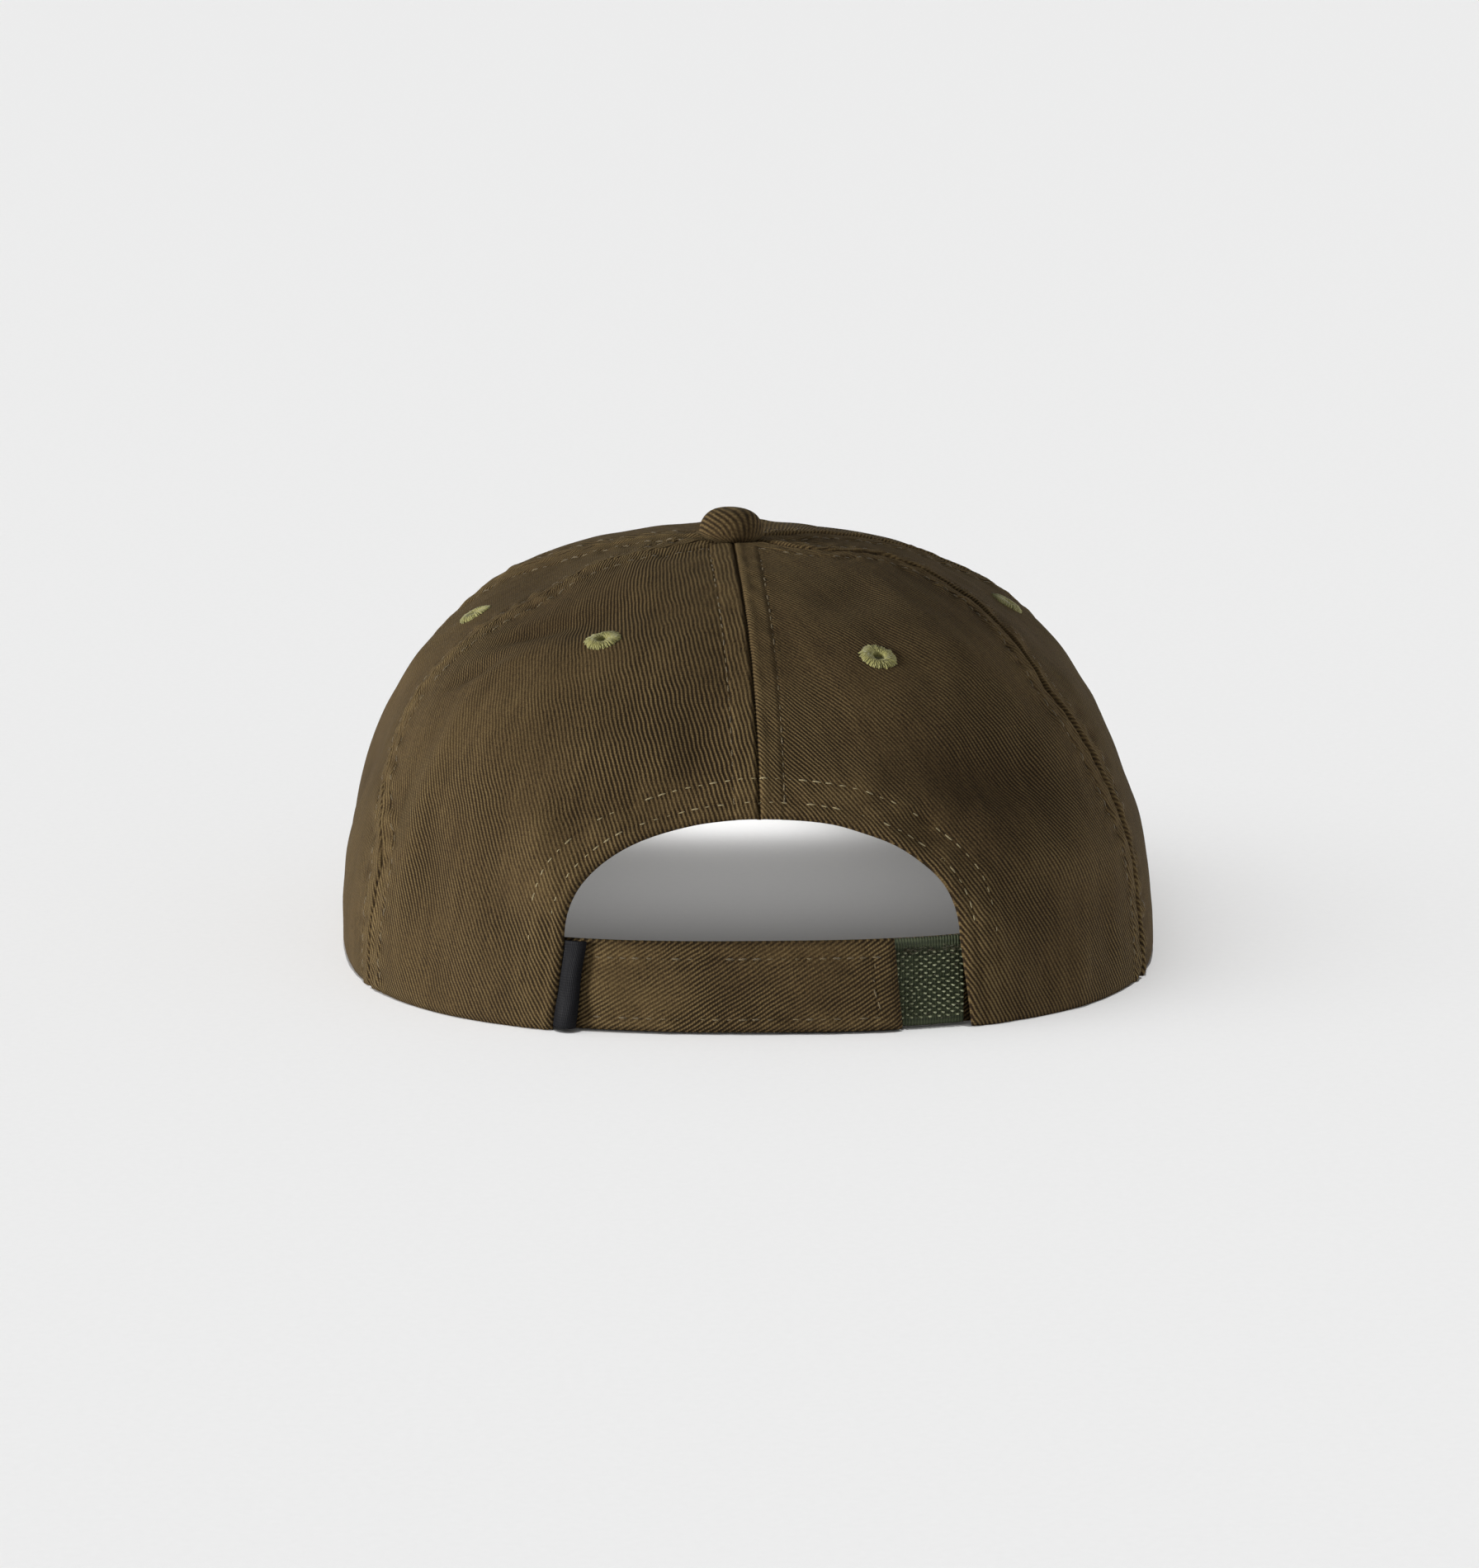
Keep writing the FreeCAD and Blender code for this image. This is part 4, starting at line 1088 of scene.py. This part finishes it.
def make_facing(binding):
    """Binding on the inside of the opening's edge."""
    turn = np.linspace(-0.985, 0.985, 260)[:, None]
    grow = np.linspace(0.25, FACING_WIDTH - 0.3, 20)[None, :]
    x, height = arch_point(turn + 0 * grow, grow)
    angle, rise = rear_place(x, np.maximum(height, 1.0))
    shape = 0.15 * bell(grow - ARCH_STITCHES[0], 0.5) + 0.15 * bell(grow - ARCH_STITCHES[1], 0.5)
    outer, _ = cloth_point(angle, rise, FACING_DEPTHS[0])
    inner, _ = cloth_point(angle, rise, FACING_DEPTHS[1] + shape)
    uvs = np.stack([turn * 90 + 0 * grow, grow + 0 * turn], -1)
    piece = sheet_piece("opening_facing", outer, inner, uvs, binding, 0.2)
    finish_piece(piece, "crown", "binding", "arch_facing")


def make_buckrams(buckram):
    """Stiff open-weave backing of the front panels."""
    sides = {"left": (FRONT_SEAM, FRONT_LEFT_SEAM), "right": (FRONT_RIGHT_SEAM, FRONT_SEAM)}
    for side, (start, end) in sides.items():
        middle = (start + end) / 2
        share = np.linspace(0, 1, 60)[None, :]
        low = rise_at_height(middle, rim_height(middle) + 1.0)
        rise = low + share * (rise_at_radius(middle, 18.7) - low)
        part = np.linspace(0, 1, 50)[:, None]
        angle = seam_angle(start, rise, 8.5) * (1 - part) + seam_angle(end, rise, -8.5) * part
        low_edge = rise_at_height(angle, rim_height(angle) + 1.0)
        rise = low_edge * (1 - share) + (rise + 0 * angle) * share
        piece = lining_piece("buckram_" + side, angle, rise, BUCKRAM_DEPTHS, buckram, None, 0.1, middle)
        finish_piece(piece, "crown", "buckram", f"front_buckram_{side}")


# ---------------------------------------------------------------- visor

def visor_frame(share, run):
    """Middle surface of the visor, and distance in from its free edge."""
    angle = FRONT_SEAM + VISOR_SPREAD * share
    flat = np.zeros_like(angle)
    base = crown_point(angle, flat) - crown_normal(angle, flat) * VISOR_TUCK
    inner = np.stack([base[..., 0], base[..., 1], rim_height(angle) - VISOR_MID_DROP], -1)
    turn = np.radians(90.0 * share)
    x = VISOR_HALF_WIDTH * np.sign(share) * np.abs(np.sin(turn)) ** (2 / VISOR_POWER)
    reach = np.abs(np.cos(turn)) ** (2 / VISOR_POWER)
    y = VISOR_BACK_Y + (VISOR_TIP_Y - VISOR_BACK_Y) * reach
    z = VISOR_CORNER_HEIGHT + (VISOR_TIP_HEIGHT - VISOR_CORNER_HEIGHT) * (1 - (x / VISOR_HALF_WIDTH) ** 2)
    outer = np.stack([x, y, z], -1)
    point = inner * (1 - run[..., None]) + outer * run[..., None]
    point[..., 2] += VISOR_CROSS_BULGE * np.sin(math.pi * run) * (1 - share ** 2)
    tangent = unit(np.gradient(outer, axis=0))
    spoke = outer - inner
    lean = np.linalg.norm(np.cross(tangent, unit(spoke)), axis=-1)
    return point, (1 - run) * np.linalg.norm(spoke, axis=-1) * lean


def visor_relief(point, inset):
    """Grooves of the stitched rows and soft waves of the visor's covers."""
    value = -0.3 * bell(inset - VISOR_ROWS[0], 0.5)
    for row in VISOR_ROWS[1:]:
        value = value - 0.22 * bell(inset - row, 0.55)
    flat = point * (1.0, 1.0, 0.0)
    value = value + 0.05 * wave_noise(flat, 6.0, 61) * np.exp(-inset / 60)
    return value + 0.10 * wave_noise(flat, 30.0, 62)


def visor_skin(share, run, side):
    """Outer face of a visor cover: side is 1 for the top and -1 for the underside."""
    point, inset = visor_frame(share, run)
    away = np.clip(1 - inset / 1.8, 0, 1)
    relief = visor_relief(point, inset) * smooth(inset, 0.6, 2.2)
    height = 1.8 * np.sqrt(np.maximum(1 - away ** 2, 0)) + relief
    return point + np.array([0, 0, side]) * height[..., None], inset


def make_visor(twill, thread):
    """Top and under covers that meet in a seam around the free edge, and their stitched rows."""
    columns, rows = 220, 110
    share = np.sin(np.linspace(math.pi / 2, -math.pi / 2, columns))[:, None] * 0.9995
    run = 1 - (1 - np.linspace(0, 1, rows)[None, :]) ** 1.5
    share, run = share + 0 * run, run + 0 * share
    for side, label in ((1, "top"), (-1, "under")):
        outer, inset = visor_skin(share, run, side)
        middle, _ = visor_frame(share, run)
        thickness = np.minimum(0.7, np.abs(outer - middle)[..., 2:] * 0.6 + 0.02)
        inner = outer - np.array([0, 0, side]) * thickness
        faces = grid_faces(columns, rows)
        faces = faces if side > 0 else faces[:, ::-1]
        uvs = np.stack([middle[..., 0] + 300, -middle[..., 1]], -1)
        # Lighter along the free edge. Painted shade darkens the stitched grooves, and the soft waves are
        # painted lighter and darker.
        wear_and_shade = np.clip(0.8 * bell(inset - 0.4, 1.0) + visor_relief(middle, inset) * 1.2, -1, 1)
        piece = sheet_piece(f"visor_{label}_cloth", outer, inner, uvs, twill, 0.1, faces, wear_and_shade)
        finish_piece(piece, "crown", "twill", f"visor_{label}_cover")

        runs = []
        fine = np.sin(np.linspace(math.pi / 2, -math.pi / 2, 900))[:, None] * 0.999
        steps = np.linspace(0, 1, 400)[None, :] + 0 * fine
        fine = fine + 0 * steps
        _, insets = visor_frame(fine, steps)
        for number, row in enumerate(VISOR_ROWS):
            reached = insets[:, 0] > row + 3.0
            spokes = zip(insets[reached], steps[reached])
            place = np.array([np.interp(-row, -line, step) for line, step in spokes])
            line = np.stack([place, place], -1)
            points, _ = visor_skin(np.stack([fine[reached, 0]] * 2, -1), line, side)
            path = points[:, 0]
            normals = np.zeros_like(path) + (0, 0, side)
            runs.append(stitch_places(path, normals, 600 + 10 * number + side))
        finish_piece(stitches_piece(f"visor_{label}_stitches", runs, thread), "crown", "eyelet_thread")


def make_board(board):
    """Stiff board between the visor's covers."""
    columns, rows = 120, 40
    share = np.sin(np.linspace(math.pi / 2, -math.pi / 2, columns))[:, None] * 0.99
    run = np.linspace(0.01, 1, rows)[None, :]
    share, run = share + 0 * run, run + 0 * share
    _, whole = visor_frame(share, run * 0)
    run = run * (1 - np.minimum(2.4 / np.maximum(whole, 3.0), 0.6))
    point, _ = visor_frame(share, run)
    uvs = point[..., :2]
    up = np.array([0, 0, 0.85])
    piece = sheet_piece("visor_board_plate", point + up, point - up, uvs, board, 0.3)
    finish_piece(piece, "crown", "visor_board", "visor_board")


# ---------------------------------------------------------------- strap, tab and label

def patch(start, end, low, high, columns, rows, strength=0.0):
    """Grid of x and height over the rear wall; start and end may lean with the height."""
    height = low + (high - low) * dense_ends(rows, strength)[None, :]
    share = np.linspace(0, 1, columns)[:, None]
    x = start(height) * (1 - share) + end(height) * share
    return x, height + 0 * x


def upright(x):
    """An end that stands straight, for patch."""
    return lambda height: x + 0 * height


def turned_uvs(x, height, degrees):
    """Millimetres of cloth whose ribs are turned by an angle."""
    spin = math.radians(degrees)
    return np.stack([-x * math.cos(spin) - height * math.sin(spin),
                     -x * math.sin(spin) + height * math.cos(spin)], -1)


def wall_point(x, height, depth):
    """Point and normal of a layer of the rear wall at an x and a height."""
    angle, rise = rear_place(x, height)
    return cloth_point(angle, rise, depth)


def strap_depth(x):
    """Depth of the strap: under the left leg at its root, level with the panels at its end."""
    drop = smooth(x, 0.0, STRAP_DROP_X)
    return STRAP_LAP_DEPTH + (STRAP_ROOT_DEPTH - STRAP_LAP_DEPTH) * drop


def strap_relief(x, height):
    """Turned edges, stitched grooves and soft waves of the strap's outer face."""
    from_top = STRAP_TOP - height
    from_bottom = height - STRAP_BOTTOM
    from_end = x - strap_end(height)
    edge = np.minimum(np.minimum(from_top, from_bottom), from_end)
    value = -0.5 * bell(edge, 0.7)
    value += 0.16 * (1 - smooth(from_top, 3.6, 4.6)) + 0.16 * (1 - smooth(from_bottom, 2.8, 3.8))
    value += 0.16 * (1 - smooth(from_end, 4.8, 5.8))
    value -= 0.22 * bell(from_top - 3.4, 0.5) + 0.22 * bell(from_bottom - 2.6, 0.5)
    inside = (height > STRAP_ROWS[0]) & (height < STRAP_ROWS[1])
    value -= np.where(inside, 0.22 * bell(from_end - 4.6, 0.5), 0.0)
    flat = np.stack([x, height, 0 * x], -1)
    value += 0.10 * wave_noise(flat, 5.0, 71) * (bell(from_top - 3.4, 2.2) + bell(from_bottom - 2.6, 2.0))
    value += 0.12 * wave_noise(flat * (1.0, 0.5, 1.0), 19.0, 72) + 0.07 * wave_noise(flat, 8.0, 73)
    value += 0.3 * bell(height - 9.0, 5.5) * bell(x - 26.0, 9.0)
    return value


def strap_skin(x, height):
    return wall_point(x, height, strap_depth(x) - strap_relief(x, height))


def strap_end(height):
    """x of the strap's free end, which leans a little."""
    return STRAP_END_X - 0.1 + 0.095 * (height - STRAP_BOTTOM - STRAP_HEIGHT / 2)


def bend(piece, start_place, end_place, depth):
    """Works out points of the wall at two places and a depth, which go unused, and bakes the piece's
    transform into its mesh.
    """
    start, _ = wall_point(np.float64(start_place[0]), np.float64(start_place[1]), depth)
    end, _ = wall_point(np.float64(end_place[0]), np.float64(end_place[1]), depth)
    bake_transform(piece)


def bend_with_strap(piece):
    """Places on either side of the strap's root behind the left leg, for bend."""
    bend(piece, (STRAP_HINGE_X + 1.2, 9.8), (STRAP_HINGE_X - 1.2, 9.5), 2.0)


def bend_with_tab(piece):
    bend(piece, (TAB_HINGE_X - 1.5, 9.8), (TAB_HINGE_X + 2.5, 9.8), 3.8)


def bend_with_label(piece):
    """Places on either side of the label's sewn edge, for bend."""
    bend(piece, (LABEL_HINGE_X + 0.2, 9.8), (LABEL_HINGE_X - 1.2, 9.6), 1.5)


def finish_bent(piece, slot, bend_piece, *nodes):
    """Hides the nodes' CAD parts and hands the piece to bend_piece; slot is not used."""
    if nodes:
        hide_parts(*nodes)
    bend_piece(piece)


def make_strap(twill, thread):
    """Twill strap from the left leg over the tab, with its stitched rows."""
    x, height = patch(upright(SEWN_END_X), strap_end, STRAP_BOTTOM, STRAP_TOP, 210, 64, 0.4)
    outer, normals = strap_skin(x, height)
    inner, _ = wall_point(x, height, strap_depth(x) + STRAP_THICKNESS)
    uvs = turned_uvs(x, height, RIB_ANGLE + 90 - 33.0)
    # Painted shade darkens the strap's turned edges and stitched grooves; its raised hems and the swell
    # near its middle are painted lighter.
    wear_and_shade = np.clip(strap_relief(x, height) * 1.3, -1, 1)
    piece = sheet_piece("strap_cloth", outer, inner, uvs, twill, 0.3, None, wear_and_shade)
    finish_bent(piece, "twill", bend_with_strap, "strap", "strap_sewn_end")
    runs = []
    for number, level in enumerate(STRAP_ROWS):
        along = np.linspace(44.0, STRAP_END_X + 1.2, 700)
        runs.append(stitch_places(*strap_skin(along, along * 0 + level), 700 + number))
    level = np.linspace(STRAP_ROWS[0] + 0.6, STRAP_ROWS[1] - 0.4, 200)
    end_row = strap_end(level) + 4.2 + 0.035 * (level - STRAP_BOTTOM) - 0.5 * np.sin(level * 0.5)
    runs.append(stitch_places(*strap_skin(end_row, level), 705))
    stitches = stitches_piece("strap_stitches", runs, thread)
    finish_bent(stitches, "eyelet_thread", bend_with_strap)


def make_loop_tape(base, filament):
    """Loop tape on the strap's inner face."""
    x, height = patch(upright(35.0), upright(-26.5), STRAP_BOTTOM + 0.4, STRAP_TOP - 0.4, 90, 24)
    depth = strap_depth(x) + STRAP_THICKNESS + 0.02
    outer, _ = wall_point(x, height, depth)
    inner, _ = wall_point(x, height, depth + 0.35)
    uvs = np.stack([-x, height], -1)
    tape = sheet_piece("strap_loop_base", outer, inner, uvs, base, 0.1)
    finish_piece(tape, "strap", "loop_tape", "strap_loop_tape")
    rng = np.random.default_rng(720)
    count = 1500
    x = rng.uniform(-25.8, 34.2, count)[:, None]
    height = rng.uniform(STRAP_BOTTOM + 1.2, STRAP_TOP - 1.2, count)[:, None]
    heading = rng.uniform(0, 2 * math.pi, (count, 1))
    bow = np.linspace(0, math.pi, 6)[None, :]
    size = rng.uniform(0.28, 0.5, (count, 1))
    reach = size * np.cos(bow)
    depth = strap_depth(x) + STRAP_THICKNESS + 0.3 + 0.62 * np.sin(bow) * size / 0.5
    points, normals = wall_point(x + reach * np.cos(heading), height + reach * np.sin(heading), depth)
    loops = tubes_piece("strap_loops", points, normals, 0.045, 4, filament)
    finish_piece(loops, "strap", "loop_tape")


def make_tab_cloth(twill):
    """Twill tab under the hook tape."""
    x, height = patch(upright(TAB_END_X), upright(-SEWN_END_X), STRAP_BOTTOM, STRAP_TOP, 100, 30, 0.4)
    depth = TAB_DEPTH + 0.95
    edge = np.minimum(height - STRAP_BOTTOM, STRAP_TOP - height)
    outer, _ = wall_point(x, height, depth + 0 * x)
    inner, _ = wall_point(x, height, depth + 0.85 - 0.3 * bell(edge, 0.7))
    uvs = turned_uvs(x, height, 84.0) + (0, 200.0)
    piece = sheet_piece("tab_cloth", outer, inner, uvs, twill, 0.25)
    finish_bent(piece, "twill", bend_with_tab, "tab", "tab_sewn_end")


def make_hook_tape(base):
    """Woven base of the hook tape, with a rib along each edge."""
    x, height = patch(upright(TAB_END_X - 1.5), upright(-42.6), STRAP_BOTTOM, STRAP_TOP, 130, 70)
    from_top = STRAP_TOP - height
    from_bottom = height - STRAP_BOTTOM
    rim = np.minimum(from_top, from_bottom)
    relief = 0.16 * smooth(-rim, -0.5, 0.0) - 0.3 * bell(rim, 0.35)
    relief += 0.14 * (1 - smooth(from_top, TAPE_TOP_RIB - 0.2, TAPE_TOP_RIB + 0.3))
    relief += 0.14 * (1 - smooth(from_bottom, TAPE_BOTTOM_RIB - 0.2, TAPE_BOTTOM_RIB + 0.3))
    flat = np.stack([x, height, 0 * x], -1)
    relief += 0.12 * wave_noise(flat, 9.0, 81)
    outer, _ = wall_point(x, height, TAB_DEPTH - relief)
    inner, _ = wall_point(x, height, TAB_DEPTH + 0.9 + 0 * x)
    uvs = np.stack([-x, height], -1)
    tape = sheet_piece("tab_hook_base", outer, inner, uvs, base, 0.15)
    finish_piece(tape, "tab", "hook_tape", "tab_hook_tape")


def make_hooks(hook, rng):
    """Bent filaments that stand in staggered rows on the tape."""
    rows = np.arange(STRAP_BOTTOM + TAPE_BOTTOM_RIB + 0.5, STRAP_TOP - TAPE_TOP_RIB - 0.6, 1.42)
    columns = np.arange(TAB_END_X - 2.6, -42.3, -0.98)
    x, height = np.meshgrid(columns, rows, indexing="ij")
    height = height + np.where(np.arange(len(columns)) % 2 == 0, 0.0, 0.71)[:, None]
    x = x.ravel()[:, None] + rng.uniform(-0.07, 0.07, (x.size, 1))
    height = height.ravel()[:, None] + rng.uniform(-0.07, 0.07, (height.size, 1))
    along = np.array([0.0, 0.02, 0.06, 0.16, 0.32, 0.40, 0.38])
    lift = np.array([-0.1, 0.35, 0.72, 0.98, 0.95, 0.72, 0.50])
    lean = rng.uniform(-0.3, 0.3, (x.size, 1))
    way = np.where(rng.random((x.size, 1)) < 0.95, -1.0, 1.0)
    size = rng.uniform(0.85, 1.12, (x.size, 1))
    points, _ = wall_point(x + way * along * np.cos(lean) * size, height + along * np.sin(lean) * size,
                           TAB_DEPTH - lift * size)
    _, normals = wall_point(x + 0 * along, height + 0 * along, 0.0)
    sideways = np.cross(normals, unit(np.gradient(points, axis=1)))
    radii = 0.19 * np.array([1.0, 1.0, 1.0, 1.1, 1.15, 1.05, 0.7])
    hooks = tubes_piece("tab_hooks", points, sideways + (0, 0, 0.01), radii, 6, hook)
    finish_piece(hooks, "tab", "hook_tape")


def make_stray_fluff(thread, rng):
    """Loose loops caught along the tape's top edge and on its hooks."""
    count = 70
    x = rng.uniform(-42.0, STRAP_END_X - 0.3, count)[:, None]
    height = STRAP_TOP - TAPE_TOP_RIB - 0.2 + rng.normal(0, 0.45, (count, 1))
    low = rng.random((count, 1)) < 0.3
    height = np.where(low, rng.uniform(2.0, 16.0, (count, 1)), height)
    bow = np.linspace(-0.4, math.pi + 0.5, 9)[None, :]
    heading = rng.uniform(-0.7, 0.7, (count, 1))
    size = rng.uniform(0.35, 0.8, (count, 1))
    reach = size * np.cos(bow)
    points, normals = wall_point(x + reach * np.cos(heading), height + reach * np.sin(heading) * 0.7,
                                 TAB_DEPTH - 0.2 - (0.55 + 0.75 * size) * np.sin(bow))
    stray = tubes_piece("tab_stray_fluff", points, np.roll(normals, 1, -1), 0.05, 5, thread)
    finish_piece(stray, "tab", "loop_tape")


def make_label(satin):
    """Folded satin ribbon beside the left leg, bowed out, with its open loop at the top."""
    columns, rows = 61, 46
    across = np.array([-1.6, -0.6, 0.3, 1.2, 2.2, 3.2, 4.1, 4.62,
                       4.72, 4.5, 3.8, 2.8, 1.8, 0.8, -0.2, -1.4])
    depths = np.array([1.52, 1.35, 0.75, -0.05, -0.52, -0.60, -0.30, 0.25,
                       0.70, 1.00, 1.12, 1.18, 1.25, 1.36, 1.5, 1.62])
    share = np.linspace(0, 1, columns)
    spline = np.linspace(0, 1, len(across))
    across = np.interp(share, spline, across)
    depths = np.interp(share, spline, depths)
    kernel = np.array([1, 2, 3, 2, 1]) / 9.0
    across[2:-2] = np.convolve(across, kernel, "valid")
    depths[2:-2] = np.convolve(depths, kernel, "valid")
    height = np.linspace(0.9, 18.75, rows)[None, :]
    along = height / 18.0
    bow = 1 + 0.16 * np.sin(along * 5.0 + 0.6) + 0.10 * np.sin(along * 11.0)
    offset = across[:, None] * (1 - 0.05 * along) + 0.14 * np.sin(along * 7) * (across[:, None] > 2)
    depth = 1.33 - (1.45 - depths[:, None]) * bow
    x = ARCH_CENTRE_X + arch_side(height) - 0.1 - offset
    middle, _ = wall_point(x, height + 0 * x, depth)
    across_way = unit(np.gradient(middle, axis=0))
    upward = unit(np.gradient(middle, axis=1))
    thick = np.cross(across_way, upward) * 0.12
    uvs = np.stack([share[:, None] * 12 + 0 * height, height + 0 * share[:, None]], -1)
    piece = sheet_piece("side_label_ribbon", middle + thick, middle - thick, uvs, satin, 0.06)
    finish_bent(piece, "label", bend_with_label, "side_label")


# ---------------------------------------------------------------- stage

def make_floor(material):
    """Wide square of paper under the cap."""
    reach = 9.0
    corners = [(-reach, -reach, 0), (reach, -reach, 0), (reach, reach, 0), (-reach, reach, 0)]
    mesh = bpy.data.meshes.new("floor")
    mesh.from_pydata(corners, [], [(0, 1, 2, 3)])
    mesh.materials.append(material)
    floor = bpy.data.objects.new("floor", mesh)
    bpy.context.scene.collection.objects.link(floor)


def aim(thing, target):
    """Turns a camera or a light toward a point."""
    direction = Vector(target) - thing.location
    thing.rotation_euler = direction.to_track_quat("-Z", "Y").to_euler()


def make_camera():
    """Camera a little above the strap, looking forward at the cap's back."""
    turn = math.radians(1.9)
    lift = math.radians(12.0)
    reach = 1.4
    target = Vector((0, 0, 0.042))
    data = bpy.data.cameras.new("camera")
    data.sensor_width = 36.0
    data.lens = 147.4
    data.shift_x = -0.0042
    data.shift_y = -0.0297
    data.clip_end = 50.0
    camera = bpy.data.objects.new("camera", data)
    away = Vector((math.sin(turn) * math.cos(lift), math.cos(turn) * math.cos(lift), math.sin(lift)))
    camera.location = target + away * reach
    aim(camera, target)
    bpy.context.scene.collection.objects.link(camera)
    bpy.context.scene.camera = camera


def make_light(kind, name, energy, place, target, lit, **settings):
    """A light on what a collection holds, or on all but what it leaves out."""
    data = bpy.data.lights.new(name, kind)
    data.energy = energy
    for key, value in settings.items():
        setattr(data, key, value)
    light = bpy.data.objects.new(name, data)
    light.location = place
    aim(light, target)
    bpy.context.scene.collection.objects.link(light)
    light.light_linking.receiver_collection = lit


def floor_collection(name, state):
    """Collection that tells a light to include or to exclude the floor."""
    made = bpy.data.collections.new(name)
    made.objects.link(bpy.data.objects["floor"])
    made.collection_objects[0].light_linking.link_state = state
    return made


def make_lights():
    """Two suns on the cap, and two suns and two lamps on the floor alone."""
    only_floor = floor_collection("lights_floor", "INCLUDE")
    all_but_floor = floor_collection("lights_cap", "EXCLUDE")
    centre = (0, 0, 0)
    make_light("SUN", "key", 4.2, (1.0, 0.34, 0.24), centre, all_but_floor, angle=math.radians(14))
    make_light("SUN", "rim", 0.9, (-1.0, -0.06, 0.22), centre, all_but_floor, angle=math.radians(20))
    make_light("SUN", "paper", 1.50, (0.0, 0.0, 1.0), centre, only_floor, angle=math.radians(1))
    make_light("SUN", "shadow", 0.95, (0.6, 0.10, 1.0), centre, only_floor, angle=math.radians(70))
    make_light("AREA", "under_visor", 0.018, (0.0, -0.104, 0.0185), (0.0, -0.104, 0.0), only_floor,
               shape="RECTANGLE", size=0.10, size_y=0.03)
    make_light("AREA", "in_crown", 0.0145, (0.0, -0.036, 0.05), (0.0, -0.036, 0.0), only_floor,
               shape="RECTANGLE", size=0.11, size_y=0.08)


def make_world():
    """Pale surroundings, brighter near the horizon."""
    world = bpy.data.worlds.new("studio")
    bpy.context.scene.world = world
    world.use_nodes = True
    tree = world.node_tree
    shade = Shade.__new__(Shade)
    shade.tree = tree
    place = shade.add("ShaderNodeTexCoord").outputs["Generated"]
    height = shade.add("ShaderNodeSeparateXYZ", {0: place}).outputs["Z"]
    strength = shade.between(height, 0.03, 0.35, HORIZON_LIGHT, SKY_LIGHT)
    tree.links.new(strength, tree.nodes["Background"].inputs["Strength"])
    tree.nodes["Background"].inputs["Color"].default_value = (1, 1, 1, 1)


def main():
    """Stage, materials, and then every piece from the crown to the label."""
    bpy.context.scene.view_settings.view_transform = "Standard"
    make_camera()
    make_world()
    make_floor(floor_material())
    make_lights()

    twill = twill_material()
    thread = thread_material("seam_thread", srgb(124, 107, 72), srgb(60, 48, 28))
    pale_thread = thread_material("opening_thread", srgb(172, 158, 118), srgb(116, 100, 66))
    eyelet_thread = thread_material("eyelet_thread", srgb(176, 171, 104), srgb(104, 99, 54), 0.5)
    binding = weave_material("binding_tape", srgb(112, 97, 68), srgb(70, 58, 38), (0.42, 0.42), 0.07)
    sweat_cloth = weave_material("sweatband_cloth", srgb(120, 105, 76), srgb(78, 66, 44), (0.5, 0.38), 0.08)
    buckram = weave_material("buckram", srgb(216, 211, 195), srgb(150, 144, 124), (1.0, 1.0), 0.25, 0.7)
    fuzz_base = weave_material("loop_tape_base", srgb(74, 68, 50), srgb(44, 40, 28), (0.6, 0.6), 0.08)
    fuzz = monofilament_material("loop_filament", srgb(96, 90, 68), srgb(58, 54, 40))
    hook = monofilament_material("hook_filament", srgb(160, 164, 132), srgb(104, 108, 80))

    make_panels(twill)
    make_seam_stitches(thread)
    make_arch_stitches(pale_thread, thread)
    make_eyelets(eyelet_thread)
    make_button(twill)
    make_sweatband(sweat_cloth, foam_material(), thread)
    make_tapes(binding)
    make_facing(binding)
    make_buckrams(buckram)
    make_visor(twill, thread)
    make_board(board_material())
    make_strap(twill, thread)
    make_loop_tape(fuzz_base, fuzz)
    make_tab_cloth(twill)
    make_hook_tape(hook_base_material())
    hook_draws = np.random.default_rng(820)
    make_hooks(hook, hook_draws)
    make_stray_fluff(fuzz, hook_draws)
    make_label(satin_material())
    metal = metal_material()
    for node in ("button_shell", "button_rivet"):
        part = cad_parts[node]
        part.data.materials.clear()
        part.data.materials.append(metal)


main()
